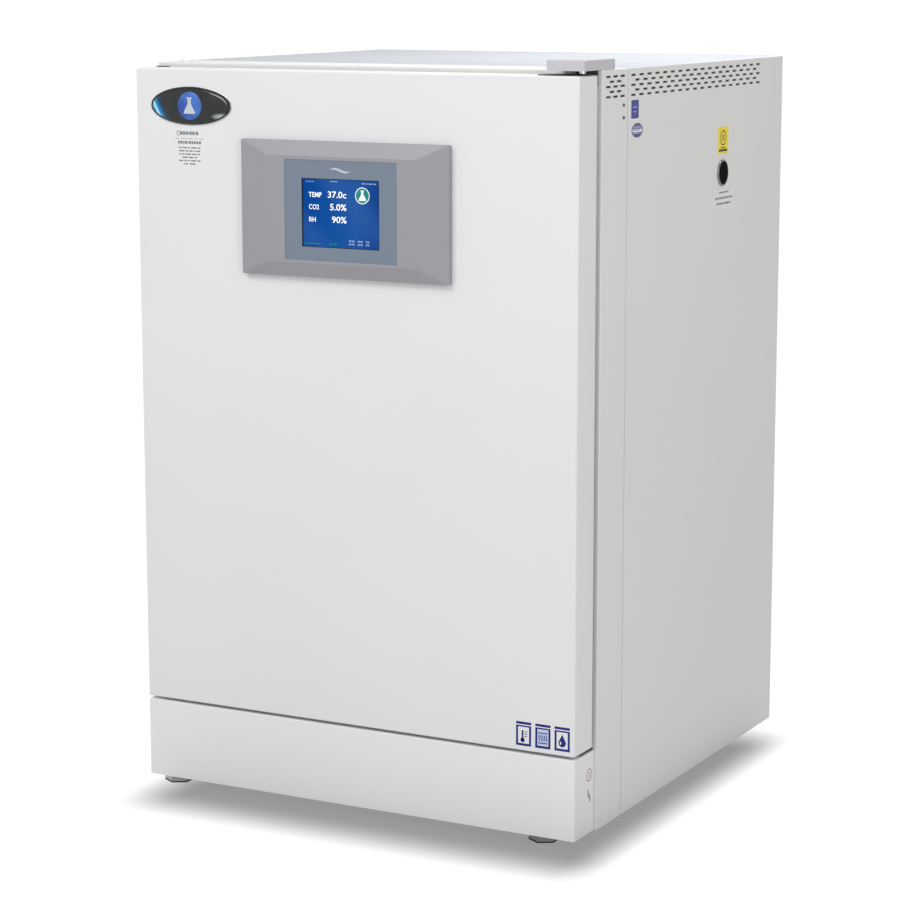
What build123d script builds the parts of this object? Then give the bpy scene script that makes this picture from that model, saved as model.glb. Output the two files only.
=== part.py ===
from build123d import *
import os

# Bench-top CO2 incubator: painted steel cabinet, heated outer door with a touch
# display, inner glass door, stainless chamber with four shelves, air blower,
# gas and electrical parts in the base, and four levelling feet.
# Row frame: +X right as the user faces the door, +Y to the back, +Z up,
# origin under the middle of the overall box, on the floor.

# ---------------------------------------------------------------- dimensions
YF = -337.5            # front face of the outer door; depths below are from here
SK = 1.5               # cabinet sheet thickness
W2 = 330.0             # cabinet half width
ZB, ZT = 14.0, 992.0   # cabinet bottom and top
DF, DR = 58.0, 668.0   # depth of the cabinet's front and rear faces
DS = 133.0             # depth of the seam behind the wrapped front frame
SEAM = 1.5             # seam gap

DH2 = 326.0            # outer door and kick panel half width
ZD0, ZD1 = 125.5, 986.0
DT = 51.0              # outer door thickness
ZK = 121.5             # kick panel top

CH_W, CH_H, CH_D = 540.0, 684.0, 508.0   # chamber, inside
CZ0 = 180.0
CZ1 = CZ0 + CH_H
CZM = (CZ0 + CZ1) / 2
CF = 80.0              # depth of the chamber's mouth
CB = CF + CH_D         # depth of the chamber's back wall, inside

OP_X, OP_Z0, OP_Z1 = 298.0, 156.0, 888.0  # opening in the front frame

HX, HD = 316.0, 30.0   # outer door hinge axis
PIN_R, BUSH_R = 4.0, 4.05
IX, ID = 291.0, 66.0   # inner door hinge axis
IPIN_R, IBORE_R = 3.0, 3.05
INNER_HINGE_Z = (240.0, 804.0)
GL_X, GL_Z0, GL_Z1 = 284.0, 170.0, 874.0
GL_D0, GL_D1 = 66.0, 71.0

LX, LZ = -268.0, 545.0  # inner latch axis

BZ_X, BZ_Z, BZ_W, BZ_H = -4.0, 809.7, 307.0, 176.0   # display bezel
BZ_EDGE, BZ_OUT = 8.0, 15.5
SLOPE_X, SLOPE_Z = 42.0, 19.0
OV_X, OV_Z, OV_W, OV_H = -4.5, 809.2, 166.5, 130.0    # display overlay
SC_X, SC_Z, SC_W, SC_H = -4.6, 806.2, 115.0, 88.8     # visible screen

PORT_D, PORT_Z = DF + 391.0, 839.5
PORT_R = 16.0

BL_D = 440.0           # blower axis depth
SENS_X, SENS_D = -165.0, 220.0   # gas and temperature sensor
FOOT_R = 20.5          # circumradius of a foot's hexagonal pad
SHELF_Z = (290.0, 425.0, 560.0, 695.0)
FEET = {
    "foot_front_left": (-300.0, 34.0),
    "foot_front_right": (267.0, 34.0),
    "foot_rear_left": (-290.0, 620.0),
    "foot_rear_right": (290.0, 620.0),
}
FOOT_STUD_R = 5.0

VENT_Z = [983.0, 976.7, 970.5, 964.2, 957.9]
VENT_L, VENT_H = 15.0, 2.9

# rear services
INLET_X, INLET_Z = -205.0, 72.0
ROCK_X, ROCK_Z, ROCK_D = -168.0, 72.0, 666.0
GAS_X, GAS_Z = 190.0, 72.0
GAS_R = 3.2

os.makedirs("parts", exist_ok=True)


# ------------------------------------------------------------------- helpers
def Y(d):
    return YF + d


def front(d):
    """Sketch plane at depth d: local x is +X, local y is +Z, normal is -Y."""
    return Plane(origin=(0, YF + d, 0), x_dir=(1, 0, 0), z_dir=(0, -1, 0))


def block(x0, x1, d0, d1, z0, z1, mode=Mode.ADD):
    with Locations(((x0 + x1) / 2, YF + (d0 + d1) / 2, (z0 + z1) / 2)):
        Box(x1 - x0, d1 - d0, z1 - z0, mode=mode)


def post(x, d, r, z0, z1, mode=Mode.ADD):
    with Locations((x, YF + d, (z0 + z1) / 2)):
        Cylinder(r, z1 - z0, mode=mode)


def rod_y(x, z, r, d0, d1, mode=Mode.ADD):
    with Locations((x, YF + (d0 + d1) / 2, z)):
        Cylinder(r, d1 - d0, rotation=(90, 0, 0), mode=mode)


def rod_x(d, z, r, x0, x1, mode=Mode.ADD):
    with Locations(((x0 + x1) / 2, YF + d, z)):
        Cylinder(r, x1 - x0, rotation=(0, 90, 0), mode=mode)


def save(builder, name):
    builder.part.label = name
    export_step(builder.part, f"parts/{name}.step")


def frame_vents(x_start, sign):
    for i, z in enumerate(VENT_Z):
        cols = [17.6, 39.0, 60.4] if i % 2 == 0 else [28.3, 49.7]
        with BuildSketch(Plane.YZ.offset(x_start)) as s:
            with Locations(*[(YF + DF + c, z) for c in cols]):
                SlotOverall(VENT_L, VENT_H)
        extrude(s.sketch, amount=4 * sign, mode=Mode.SUBTRACT)


def side_vents(x_start, sign):
    for i, z in enumerate(VENT_Z):
        n = 18 if i % 2 == 0 else 17
        first = 93.2 if i % 2 == 0 else 105.65
        with BuildSketch(Plane.YZ.offset(x_start)) as s:
            with Locations(*[(YF + DF + first + 24.9 * k, z) for k in range(n)]):
                SlotOverall(VENT_L, VENT_H)
        extrude(s.sketch, amount=4 * sign, mode=Mode.SUBTRACT)


# ------------------------------------------------------------------- cabinet
with BuildPart() as base_pan:
    block(-W2 + SK, W2 - SK, DF + SK, DR - SK, ZB, ZB + 2)
    block(-DH2 + SK, DH2 - SK, SK, DF, ZB, ZB + 2)
    block(-308, 308, DF, DF + SK, ZB, ZB + 2)
    block(-W2 + SK, -W2 + 2 * SK, DF + SK, DR - SK, ZB + 2, ZB + 24)
    block(W2 - 2 * SK, W2 - SK, DF + SK, DR - SK, ZB + 2, ZB + 24)
    block(-W2 + 2 * SK, W2 - 2 * SK, DR - 2 * SK, DR - SK, ZB + 2, ZB + 24)
    for fx, fd in FEET.values():
        post(fx, fd, 11, ZB + 2, ZB + 20)
        post(fx, fd, FOOT_STUD_R + 0.05, ZB, ZB + 20, Mode.SUBTRACT)
save(base_pan, "base_pan")

with BuildPart() as kick_panel:
    block(-DH2, DH2, 0, DF - 0.3, ZB, ZK)
    fillet(kick_panel.edges().filter_by(Axis.Z).sort_by(Axis.Y)[:2], 2.5)
    fillet(kick_panel.faces().sort_by(Axis.Z)[-1].edges().sort_by(Axis.Y)[0], 1.2)
    block(-DH2 + SK, DH2 - SK, SK, DF, ZB, ZK - SK, Mode.SUBTRACT)
save(kick_panel, "kick_panel")

with BuildPart() as front_frame:
    block(-W2, W2, DF, DS, ZB, ZT)
    fillet(front_frame.edges().filter_by(Axis.Z).sort_by(Axis.Y)[:2], 2.0)
    fillet(front_frame.faces().sort_by(Axis.Z)[-1].edges().sort_by(Axis.Y)[0], 1.6)
    block(-W2 + SK, W2 - SK, DF + SK, DS, ZB, ZT - SK, Mode.SUBTRACT)
    block(-OP_X - 1.2, OP_X + 1.2, DF + SK, CF, OP_Z0 - 1.2, OP_Z1 + 1.2)
    block(-OP_X, OP_X, DF, CF, OP_Z0, OP_Z1, Mode.SUBTRACT)
    block(-308, 308, DF - 1, DF + SK + 1, ZB - 1, 110, Mode.SUBTRACT)
    frame_vents(W2 - 2, 1)
    frame_vents(-W2 + 2, -1)
save(front_frame, "front_frame")

with BuildPart() as side_panel_right:
    block(W2 - SK, W2, DS + SEAM, DR, ZB, ZT)
    block(W2 - 13.5, W2 - SK, DS + SEAM, DS + SEAM + SK, ZB + 24, ZT - SK)
    block(W2 - 13.5, W2 - SK, DR - 2 * SK, DR - SK, ZB + 24, ZT - SK)
    block(W2 - 13.5, W2 - SK, DS + SEAM + SK, DR - 2 * SK, ZT - 2 * SK, ZT - SK)
    fillet(side_panel_right.edges().filter_by(Axis.Y).sort_by(Axis.X)[-2:].sort_by(Axis.Z)[-1], 1.0)
    side_vents(W2 - 2, 1)
    rod_x(PORT_D, PORT_Z, PORT_R + 1.5, W2 - 3, W2 + 1, Mode.SUBTRACT)
save(side_panel_right, "side_panel_right")

with BuildPart() as side_panel_left:
    block(-W2, -W2 + SK, DS + SEAM, DR, ZB, ZT)
    block(-W2 + SK, -W2 + 13.5, DS + SEAM, DS + SEAM + SK, ZB + 24, ZT - SK)
    block(-W2 + SK, -W2 + 13.5, DR - 2 * SK, DR - SK, ZB + 24, ZT - SK)
    block(-W2 + SK, -W2 + 13.5, DS + SEAM + SK, DR - 2 * SK, ZT - 2 * SK, ZT - SK)
    fillet(side_panel_left.edges().filter_by(Axis.Y).sort_by(Axis.X)[:2].sort_by(Axis.Z)[-1], 1.0)
    side_vents(-W2 + 2, -1)
save(side_panel_left, "side_panel_left")

with BuildPart() as top_panel:
    block(-W2 + SK, W2 - SK, DS + SEAM, DR, ZT - SK, ZT)
save(top_panel, "top_panel")

with BuildPart() as rear_panel:
    block(-W2 + SK, W2 - SK, DR - SK, DR, ZB, ZT - SK)
    block(INLET_X - 14, INLET_X + 14, DR - 4, DR + 1, INLET_Z - 11, INLET_Z + 11, Mode.SUBTRACT)
    block(ROCK_X - 9, ROCK_X + 9, DR - 4, DR + 1, ROCK_Z - 14, ROCK_Z + 14, Mode.SUBTRACT)
    rod_y(GAS_X, GAS_Z, 6.2, DR - 4, DR + 1, Mode.SUBTRACT)
    for row in range(6):
        with BuildSketch(front(DR + 1)) as s:
            with Locations(*[(x, 48 + 9 * row) for x in (-40, -10, 20, 50, 80)]):
                SlotOverall(22, 3.2)
        extrude(s.sketch, amount=-4, mode=Mode.SUBTRACT)
        extrude(s.sketch, amount=4, mode=Mode.SUBTRACT)
    for row in range(6):
        with BuildSketch(front(DR + 1)) as s:
            with Locations(*[(-150 + 30 * i, 926 + 9 * row) for i in range(11)]):
                SlotOverall(22, 3.2)
        extrude(s.sketch, amount=4, mode=Mode.SUBTRACT)
save(rear_panel, "rear_panel")

with BuildPart() as base_divider:
    block(-W2 + 14, W2 - 14, DF + SK, DR - 2 * SK, 121.5, 123)
save(base_divider, "base_divider")

# ------------------------------------------------------- chamber and insulation
with BuildPart() as chamber_liner:
    with BuildSketch(front(CF)):
        with Locations((0, CZM)):
            RectangleRounded(CH_W + 2, CH_H + 2, 21)
    extrude(amount=-(CH_D + 1))
    with BuildSketch(front(CF)):
        with Locations((0, CZM)):
            Rectangle(608, 744)
    extrude(amount=-1.2)
    with BuildSketch(front(CF)) as mouth:
        with Locations((0, CZM)):
            RectangleRounded(CH_W, CH_H, 20)
    extrude(amount=-CH_D, mode=Mode.SUBTRACT)
    post(0, BL_D, 9, CZ1 - 4, CZ1 + 4, Mode.SUBTRACT)
    post(SENS_X, SENS_D, 8.1, CZ1 - 4, CZ1 + 4, Mode.SUBTRACT)
    rod_x(PORT_D, PORT_Z, PORT_R + 1.5, CH_W / 2 - 8, CH_W / 2 + 3, Mode.SUBTRACT)
save(chamber_liner, "chamber_liner")

with BuildPart() as insulation_jacket:
    block(-316, 316, CF + 1.2, 655, 123, 914)
    with BuildSketch(front(CF)) as s:
        with Locations((0, CZM)):
            RectangleRounded(CH_W + 3, CH_H + 3, 21.5)
    extrude(s.sketch, amount=-(CH_D + 1.5), mode=Mode.SUBTRACT)
    post(0, BL_D, 9, CZ1, 916, Mode.SUBTRACT)
    post(SENS_X, SENS_D, 8.1, CZ1, 916, Mode.SUBTRACT)
    rod_x(PORT_D, PORT_Z, PORT_R + 1.5, 260, 330, Mode.SUBTRACT)
save(insulation_jacket, "insulation_jacket")

for side, label in ((-1, "shelf_rack_left"), (1, "shelf_rack_right")):
    with BuildPart() as rack:
        for d in (140, 505):
            x0, x1 = sorted((side * 267.0, side * 270.0))
            block(x0, x1, d, d + 20, 246, 790)
        for z in SHELF_Z:
            x0, x1 = sorted((side * 250.0, side * 267.0))
            block(x0, x1, 110, 560, z - 1.8, z)
            x0, x1 = sorted((side * 265.5, side * 267.0))
            block(x0, x1, 110, 560, z, z + 9)
    save(rack, label)

for i, z in enumerate(SHELF_Z):
    with BuildPart() as shelf:
        block(-264.5, 264.5, 100, 565, z, z + 1.2)
        block(-264.5, 264.5, 100, 101.2, z - 12, z)
        block(-264.5, 264.5, 563.8, 565, z - 12, z)
        with BuildSketch(Plane.XY.offset(z - 1)) as s:
            with Locations((0, YF + 332.5)):
                with GridLocations(48, 25, 10, 17):
                    SlotOverall(34, 6)
        extrude(s.sketch, amount=4, mode=Mode.SUBTRACT)
    save(shelf, f"shelf_{i + 1}")

with BuildPart() as humidity_pan:
    with BuildSketch(Plane.XY.offset(CZ0)):
        with Locations((0, YF + 330)):
            RectangleRounded(470, 400, 16)
    extrude(amount=42)
    with BuildSketch(Plane.XY.offset(CZ0 + 1)):
        with Locations((0, YF + 330)):
            RectangleRounded(468, 398, 15)
    extrude(amount=42, mode=Mode.SUBTRACT)
    with BuildSketch(Plane.XY.offset(CZ0 + 40.5)):
        with Locations((0, YF + 330)):
            RectangleRounded(482, 412, 22)
            RectangleRounded(469, 399, 15.5, mode=Mode.SUBTRACT)
    extrude(amount=1.5)
save(humidity_pan, "humidity_pan")

with BuildPart() as air_duct_cover:
    block(-205, 205, 105, 545, 800, CZ1)
    block(-204, 204, 106, 544, 801, CZ1, Mode.SUBTRACT)
    with BuildSketch(Plane.XY.offset(799)) as s:
        with Locations((0, YF + 215)):
            with GridLocations(44, 16, 5, 11):
                SlotOverall(32, 6)
    extrude(s.sketch, amount=3, mode=Mode.SUBTRACT)
    with BuildSketch(Plane.YZ.offset(-206)) as s:
        with Locations((YF + 325, 832)):
            with GridLocations(42, 14, 9, 3):
                SlotOverall(30, 5)
    extrude(s.sketch, amount=412, mode=Mode.SUBTRACT)
save(air_duct_cover, "air_duct_cover")

with BuildPart() as hepa_filter:
    block(-125, 125, 120, 310, 801, 806)
    block(-120, 120, 125, 305, 806, 844)
    block(-125, 125, 120, 310, 844, 848)
    for k in range(17):
        block(-121, 121, 131 + 10.2 * k, 133.5 + 10.2 * k, 806, 844)
save(hepa_filter, "hepa_filter")

with BuildPart() as blower_motor:
    post(0, BL_D, 46, 914, 962)
    post(0, BL_D, 30, 962, 972)
    block(-58, 58, BL_D - 14, BL_D + 14, 914, 918)
    fillet(blower_motor.faces().sort_by(Axis.Z)[-1].edges(), 3)
    post(0, BL_D, 4.05, 913, 950, Mode.SUBTRACT)
save(blower_motor, "blower_motor")

with BuildPart() as blower_wheel:
    post(0, BL_D, 62, 848, 850)
    post(0, BL_D, 14, 826, 848)
    with BuildSketch(Plane.XY.offset(814)):
        with Locations((0, YF + BL_D)):
            Circle(62)
            Circle(46, mode=Mode.SUBTRACT)
    extrude(amount=2)
    with BuildSketch(Plane.XY.offset(816)) as s:
        with Locations((0, YF + BL_D)):
            with PolarLocations(54, 24):
                Rectangle(13, 1.6, rotation=28)
    extrude(s.sketch, amount=32)
    post(0, BL_D, 4.0, 820, 948)
save(blower_wheel, "blower_wheel")

with BuildPart() as sensor_module:
    block(SENS_X - 40, SENS_X + 40, SENS_D - 40, SENS_D + 42, 914, 958)
    fillet(sensor_module.edges().filter_by(Axis.Z), 5)
    post(SENS_X, SENS_D, 8.0, 822, 914)
    post(SENS_X, SENS_D, 5.0, 812, 822)
save(sensor_module, "sensor_module")

with BuildPart() as access_port_tube:
    rod_x(PORT_D, PORT_Z, PORT_R + 1.5, 268, W2)
    rod_x(PORT_D, PORT_Z, PORT_R, 267, W2 + 1, Mode.SUBTRACT)
save(access_port_tube, "access_port_tube")

with BuildPart() as access_port_ring:
    rod_x(PORT_D, PORT_Z, 18.2, W2, W2 + 2)
    fillet(access_port_ring.faces().sort_by(Axis.X)[-1].edges(), 1.2)
    rod_x(PORT_D, PORT_Z, PORT_R, W2 - 1, W2 + 3, Mode.SUBTRACT)
save(access_port_ring, "access_port_ring")

with BuildPart() as port_stopper:
    with Locations(Location((309, YF + PORT_D, PORT_Z), (0, 90, 0))):
        Cone(14.4, 15.7, 30)
    rod_x(PORT_D, PORT_Z, 11.5, 321, 325, Mode.SUBTRACT)
    block(321, 324, PORT_D - 2, PORT_D + 2, PORT_Z - 11.6, PORT_Z + 11.6)
save(port_stopper, "port_stopper")

# ------------------------------------------------------------- outer door hinge
with BuildPart() as hinge_bracket_top:
    with BuildSketch(Plane.XY.offset(ZT)):
        with Locations((307.5, YF + 52)):
            Rectangle(31, 72)
        with Locations((HX, YF + HD)):
            Circle(PIN_R, mode=Mode.SUBTRACT)
    extrude(amount=3)
    fillet(hinge_bracket_top.edges().filter_by(Axis.Z).sort_by(Axis.Y)[:2], 7)
    block(294, 324, DF - 2.7, DF, ZT - 20, ZT + 3)
save(hinge_bracket_top, "hinge_bracket_top")

with BuildPart() as hinge_cap_top:
    with BuildSketch(Plane.XY.offset(ZT)) as plan:
        with BuildLine():
            Polyline((274, Y(12)), (327, Y(12)), (328, Y(56)), (329.5, Y(66)),
                     (329.5, Y(106)), (291, Y(106)), (274, Y(70)), close=True)
        make_face()
        fillet(plan.vertices().sort_by(Axis.Y)[:2], 3)
        fillet(plan.vertices().sort_by(Axis.Y)[-2:], 14)
    extrude(amount=13.5)
    fillet(hinge_cap_top.faces().sort_by(Axis.Z)[-1].edges(), 1.8)
    with BuildSketch(Plane.XY.offset(ZT)) as hollow:
        with BuildLine():
            Polyline((276, Y(14)), (325, Y(14)), (326, Y(56)), (327.3, Y(66)),
                     (327.3, Y(88)), (315, Y(100)), (292, Y(100)), (276, Y(68)), close=True)
        make_face()
    extrude(amount=11.7, mode=Mode.SUBTRACT)
save(hinge_cap_top, "hinge_cap_top")

with BuildPart() as hinge_bracket_bottom:
    with BuildSketch(Plane.XY.offset(ZK + 0.3)):
        with Locations((310, YF + 38.9)):
            Rectangle(28, 37.6)
        with Locations((HX, YF + HD)):
            Circle(PIN_R, mode=Mode.SUBTRACT)
    extrude(amount=2)
    fillet(hinge_bracket_bottom.edges().filter_by(Axis.Z).sort_by(Axis.Y)[:2], 6)
    block(296, 324, DF - 2.7, DF, ZK + 0.3, ZD0 - 0.6)
save(hinge_bracket_bottom, "hinge_bracket_bottom")

with BuildPart() as hinge_pins:
    post(HX, HD, PIN_R, ZD1 - 24, ZT + 3)
    post(HX, HD, PIN_R, ZK + 0.3, ZD0 + 24)
save(hinge_pins, "hinge_pins")

with BuildPart() as door_hinge_bushes:
    post(HX, HD, 7, ZD1 - 26, ZD1)
    post(HX, HD, 9, ZD1, ZD1 + 2.4)
    block(262, 322, 14, 46, ZD1, ZD1 + 1.2)
    post(HX, HD, 7, ZD0, ZD0 + 26)
    post(HX, HD, 9, ZD0 - 1.2, ZD0)
    post(HX, HD, BUSH_R, ZD1 - 30, ZD1 + 4, Mode.SUBTRACT)
    post(HX, HD, BUSH_R, ZD0 - 4, ZD0 + 30, Mode.SUBTRACT)
save(door_hinge_bushes, "door_hinge_bushes")

# ------------------------------------------------------------------ outer door
with BuildPart() as door_shell:
    block(-DH2, DH2, 0, DT, ZD0, ZD1)
    fillet(door_shell.edges().filter_by(Axis.Y), 2.5)
    fillet(door_shell.faces().sort_by(Axis.Y)[0].edges(), 2.0)
    block(-DH2 + 1.2, DH2 - 1.2, 1.2, DT, ZD0 + 1.2, ZD1 - 1.2, Mode.SUBTRACT)
    block(OV_X - 80, OV_X + 80, -1, 2, OV_Z - 62, OV_Z + 62, Mode.SUBTRACT)
    post(HX, HD, 7, ZD1 - 3, ZD1 + 1, Mode.SUBTRACT)
    post(HX, HD, 7, ZD0 - 1, ZD0 + 3, Mode.SUBTRACT)
save(door_shell, "door_shell")

with BuildPart() as door_liner:
    block(-DH2 + 1.2, DH2 - 1.2, DT - 1.2, DT, ZD0 + 1.2, ZD1 - 1.2)
    block(-289.2, 289.2, 36, DT - 1.2, 146.8, 897.2)
    block(-288, 288, 37.2, DT, 148, 896, Mode.SUBTRACT)
    fillet(door_liner.edges().filter_by(Axis.Y).filter_by(lambda e: abs(abs(e.center().X) - 288) < 0.1), 12)
save(door_liner, "door_liner")

with BuildPart() as door_insulation:
    block(-DH2 + 2, DH2 - 2, 1.2, DT - 1.2, ZD0 + 2, ZD1 - 2)
    block(-290, 290, 35.8, DT, 146, 898, Mode.SUBTRACT)
    block(OV_X - 84, OV_X + 84, 0, 40, OV_Z - 66, OV_Z + 66, Mode.SUBTRACT)
    block(HX - 9, HX + 12, HD - 9, HD + 9, ZD1 - 30, ZD1, Mode.SUBTRACT)
    block(HX - 9, HX + 12, HD - 9, HD + 9, ZD0, ZD0 + 30, Mode.SUBTRACT)
save(door_insulation, "door_insulation")

with BuildPart() as door_gasket:
    with BuildSketch(front(DT)):
        with Locations((0, 521.5)):
            RectangleRounded(626, 781, 10)
            RectangleRounded(604, 759, 4, mode=Mode.SUBTRACT)
    extrude(amount=-6.7)
save(door_gasket, "door_gasket")

with BuildPart() as display_bezel:
    with BuildSketch(front(0)):
        with Locations((BZ_X, BZ_Z)):
            RectangleRounded(BZ_W, BZ_H, 2.5)
    extrude(amount=BZ_EDGE)
    with BuildSketch(front(-BZ_EDGE)):
        with Locations((BZ_X, BZ_Z)):
            RectangleRounded(BZ_W, BZ_H, 2.5)
    with BuildSketch(front(-BZ_OUT)):
        with Locations((BZ_X, BZ_Z)):
            RectangleRounded(BZ_W - 2 * SLOPE_X, BZ_H - 2 * SLOPE_Z, 2.5)
    loft()
    with BuildSketch(front(-BZ_OUT - 1)):
        with Locations((OV_X, OV_Z)):
            Rectangle(OV_W, OV_H)
    extrude(amount=-(BZ_OUT + 2), mode=Mode.SUBTRACT)
save(display_bezel, "display_bezel")

with BuildPart() as display_overlay:
    with BuildSketch(front(-12.7)):
        with Locations((OV_X, OV_Z)):
            Rectangle(OV_W, OV_H)
        with Locations((SC_X, SC_Z)):
            Rectangle(SC_W, SC_H, mode=Mode.SUBTRACT)
    extrude(amount=2.2)
save(display_overlay, "display_overlay")

with BuildPart() as touch_screen:
    with BuildSketch(front(-10.7)):
        with Locations((SC_X, SC_Z)):
            Rectangle(SC_W + 8, SC_H + 8)
    extrude(amount=2.0)
save(touch_screen, "touch_screen")

with BuildPart() as display_module:
    block(OV_X - 76, OV_X + 76, -10.7, -2, OV_Z - 58, OV_Z + 58)
    block(OV_X - 70, OV_X + 70, -2, 22, OV_Z - 52, OV_Z + 52)
save(display_module, "display_module")

with BuildPart() as badge_plate:
    with BuildSketch(front(0)):
        with Locations((-239, 937.8)):
            Ellipse(63, 25.5)
    extrude(amount=3)
    fillet(badge_plate.faces().sort_by(Axis.Y)[0].edges(), 1.6)
save(badge_plate, "badge_plate")

# ------------------------------------------------------------------ inner door
with BuildPart() as inner_glass:
    with BuildSketch(front(GL_D0)):
        with Locations((0, (GL_Z0 + GL_Z1) / 2)):
            RectangleRounded(2 * GL_X, GL_Z1 - GL_Z0, 8)
    extrude(amount=-(GL_D1 - GL_D0))
    chamfer(inner_glass.faces().sort_by(Axis.Y)[0].edges(), 0.6)
save(inner_glass, "inner_glass")

with BuildPart() as inner_gasket:
    with BuildSketch(front(GL_D1 + 0.3)):
        with Locations((0, CZM)):
            RectangleRounded(563, 702, 26)
            RectangleRounded(543, 687, 20, mode=Mode.SUBTRACT)
    extrude(amount=-8.7)
save(inner_gasket, "inner_gasket")

with BuildPart() as inner_hinge_leaves:
    for z in INNER_HINGE_Z:
        block(258, 288, 62, GL_D0, z - 25, z + 25)
        post(IX, ID, 5.5, z - 25, z + 25)
        post(IX, ID, IBORE_R, z - 26, z + 26, Mode.SUBTRACT)
        block(258, 284, GL_D0, GL_D1 + 1, z - 26, z + 26, Mode.SUBTRACT)
save(inner_hinge_leaves, "inner_hinge_leaves")

with BuildPart() as inner_hinge_brackets:
    for z in INNER_HINGE_Z:
        block(296.8, OP_X, 60.5, 71.5, z - 30.3, z + 30.3)
        for s in (-1, 1):
            z0, z1 = sorted((z + s * 25.3, z + s * 30.3))
            block(IX, 296.8, 60.5, 71.5, z0, z1)
            post(IX, ID, 5.5, z0, z1)
        post(IX, ID, IPIN_R, z - 31, z + 31, Mode.SUBTRACT)
save(inner_hinge_brackets, "inner_hinge_brackets")

with BuildPart() as inner_hinge_pins:
    for z in INNER_HINGE_Z:
        post(IX, ID, IPIN_R, z - 30.3, z + 30.3)
save(inner_hinge_pins, "inner_hinge_pins")

with BuildPart() as inner_latch_base:
    block(-284, -254, 62.5, GL_D0, LZ - 23, LZ + 23)
    fillet(inner_latch_base.edges().filter_by(Axis.Y), 4)
    rod_y(LX, LZ, 4.0, 51, 62.5)
save(inner_latch_base, "inner_latch_base")

with BuildPart() as inner_latch_knob:
    rod_y(LX, LZ, 13, 50, 57)
    fillet(inner_latch_knob.faces().sort_by(Axis.Y)[0].edges(), 2)
    rod_y(LX, LZ, 9, 57, 62.2)
    block(LX - 5, LX + 5, 58.6, 62.2, LZ, LZ + 24)
    rod_y(LX, LZ, 4.05, 50.8, 63, Mode.SUBTRACT)
save(inner_latch_knob, "inner_latch_knob")

with BuildPart() as latch_keeper:
    block(-OP_X, -OP_X + 1.5, 54.5, 72, LZ - 15, LZ + 15)
    block(-OP_X + 1.5, -OP_X + 12, 54.5, 57.5, LZ - 15, LZ + 15)
save(latch_keeper, "latch_keeper")

# -------------------------------------------------------- base compartment parts
with BuildPart() as power_supply:
    block(-285, -120, 120, 330, ZB + 2, ZB + 62)
    with BuildSketch(front(119)) as s:
        with Locations((-202, 46)):
            with GridLocations(14, 10, 9, 4):
                SlotOverall(10, 4)
    extrude(s.sketch, amount=-4, mode=Mode.SUBTRACT)
save(power_supply, "power_supply")

with BuildPart() as control_board:
    block(-70, 170, 140, 330, 40, 41.6)
    for x in (-62, 162):
        for d in (148, 322):
            post(x, d, 3.5, ZB + 2, 40)
    block(-40, 10, 170, 215, 41.6, 52)
    block(40, 90, 180, 300, 41.6, 58)
    block(110, 150, 150, 190, 41.6, 66)
    block(-50, 0, 250, 300, 41.6, 47)
    for k in range(6):
        post(110 + 8 * (k % 3), 230 + 22 * (k // 3), 3.5, 41.6, 56)
save(control_board, "control_board")

with BuildPart() as gas_solenoid_valve:
    block(175, 215, 560, 600, 52, 92)
    block(182, 208, 568, 592, 92, 116)
    rod_y(190, GAS_Z, 5, 600, 630)
    block(188, 222, 574, 586, ZB + 2, 52)
save(gas_solenoid_valve, "gas_solenoid_valve")

with BuildPart() as gas_filter:
    rod_y(190, GAS_Z, 5, 630, 638)
    rod_y(190, GAS_Z, 18, 638, 648)
    rod_y(190, GAS_Z, 5, 648, 656)
save(gas_filter, "gas_filter")

# ---------------------------------------------------------------- rear services
with BuildPart() as power_inlet:
    block(INLET_X - 27, ROCK_X + 16, DR, DR + 2.5, INLET_Z - 19, INLET_Z + 19)
    fillet(power_inlet.edges().filter_by(Axis.Y), 4)
    block(INLET_X - 13.5, INLET_X + 13.5, DR - 26, DR, INLET_Z - 10.5, INLET_Z + 10.5)
    block(INLET_X - 12, INLET_X + 12, DR - 16, DR + 3, INLET_Z - 8.5, INLET_Z + 8.5, Mode.SUBTRACT)
    for px, pz in ((-7, -2.5), (7, -2.5), (0, 3.5)):
        block(INLET_X + px - 1, INLET_X + px + 1, DR - 16, DR - 1, INLET_Z + pz - 2, INLET_Z + pz + 2)
    block(ROCK_X - 8.5, ROCK_X + 8.5, DR - 22, DR, ROCK_Z - 13.5, ROCK_Z + 13.5)
    block(ROCK_X - 6.8, ROCK_X + 6.8, DR - 12, DR + 3, ROCK_Z - 12, ROCK_Z + 12, Mode.SUBTRACT)
    rod_x(ROCK_D, ROCK_Z, 1.5, ROCK_X - 6.8, ROCK_X + 6.8)
save(power_inlet, "power_inlet")

with BuildPart() as power_rocker:
    with BuildSketch(Plane.YZ.offset(ROCK_X - 6.3)):
        with BuildLine():
            Polyline((Y(ROCK_D - 4.0), ROCK_Z - 7.0), (Y(ROCK_D + 4.8), ROCK_Z - 10.6),
                     (Y(ROCK_D + 3.2), ROCK_Z), (Y(ROCK_D + 4.8), ROCK_Z + 10.6),
                     (Y(ROCK_D - 4.0), ROCK_Z + 7.0), close=True)
        make_face()
    extrude(amount=12.6)
    rod_x(ROCK_D, ROCK_Z, 1.55, ROCK_X - 8, ROCK_X + 8, Mode.SUBTRACT)
ROCKER_REST = 8.0
tilted = power_rocker.part.rotate(Axis((0, Y(ROCK_D), ROCK_Z), (1, 0, 0)), ROCKER_REST)
tilted.label = "power_rocker"
export_step(tilted, "parts/power_rocker.step")

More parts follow.
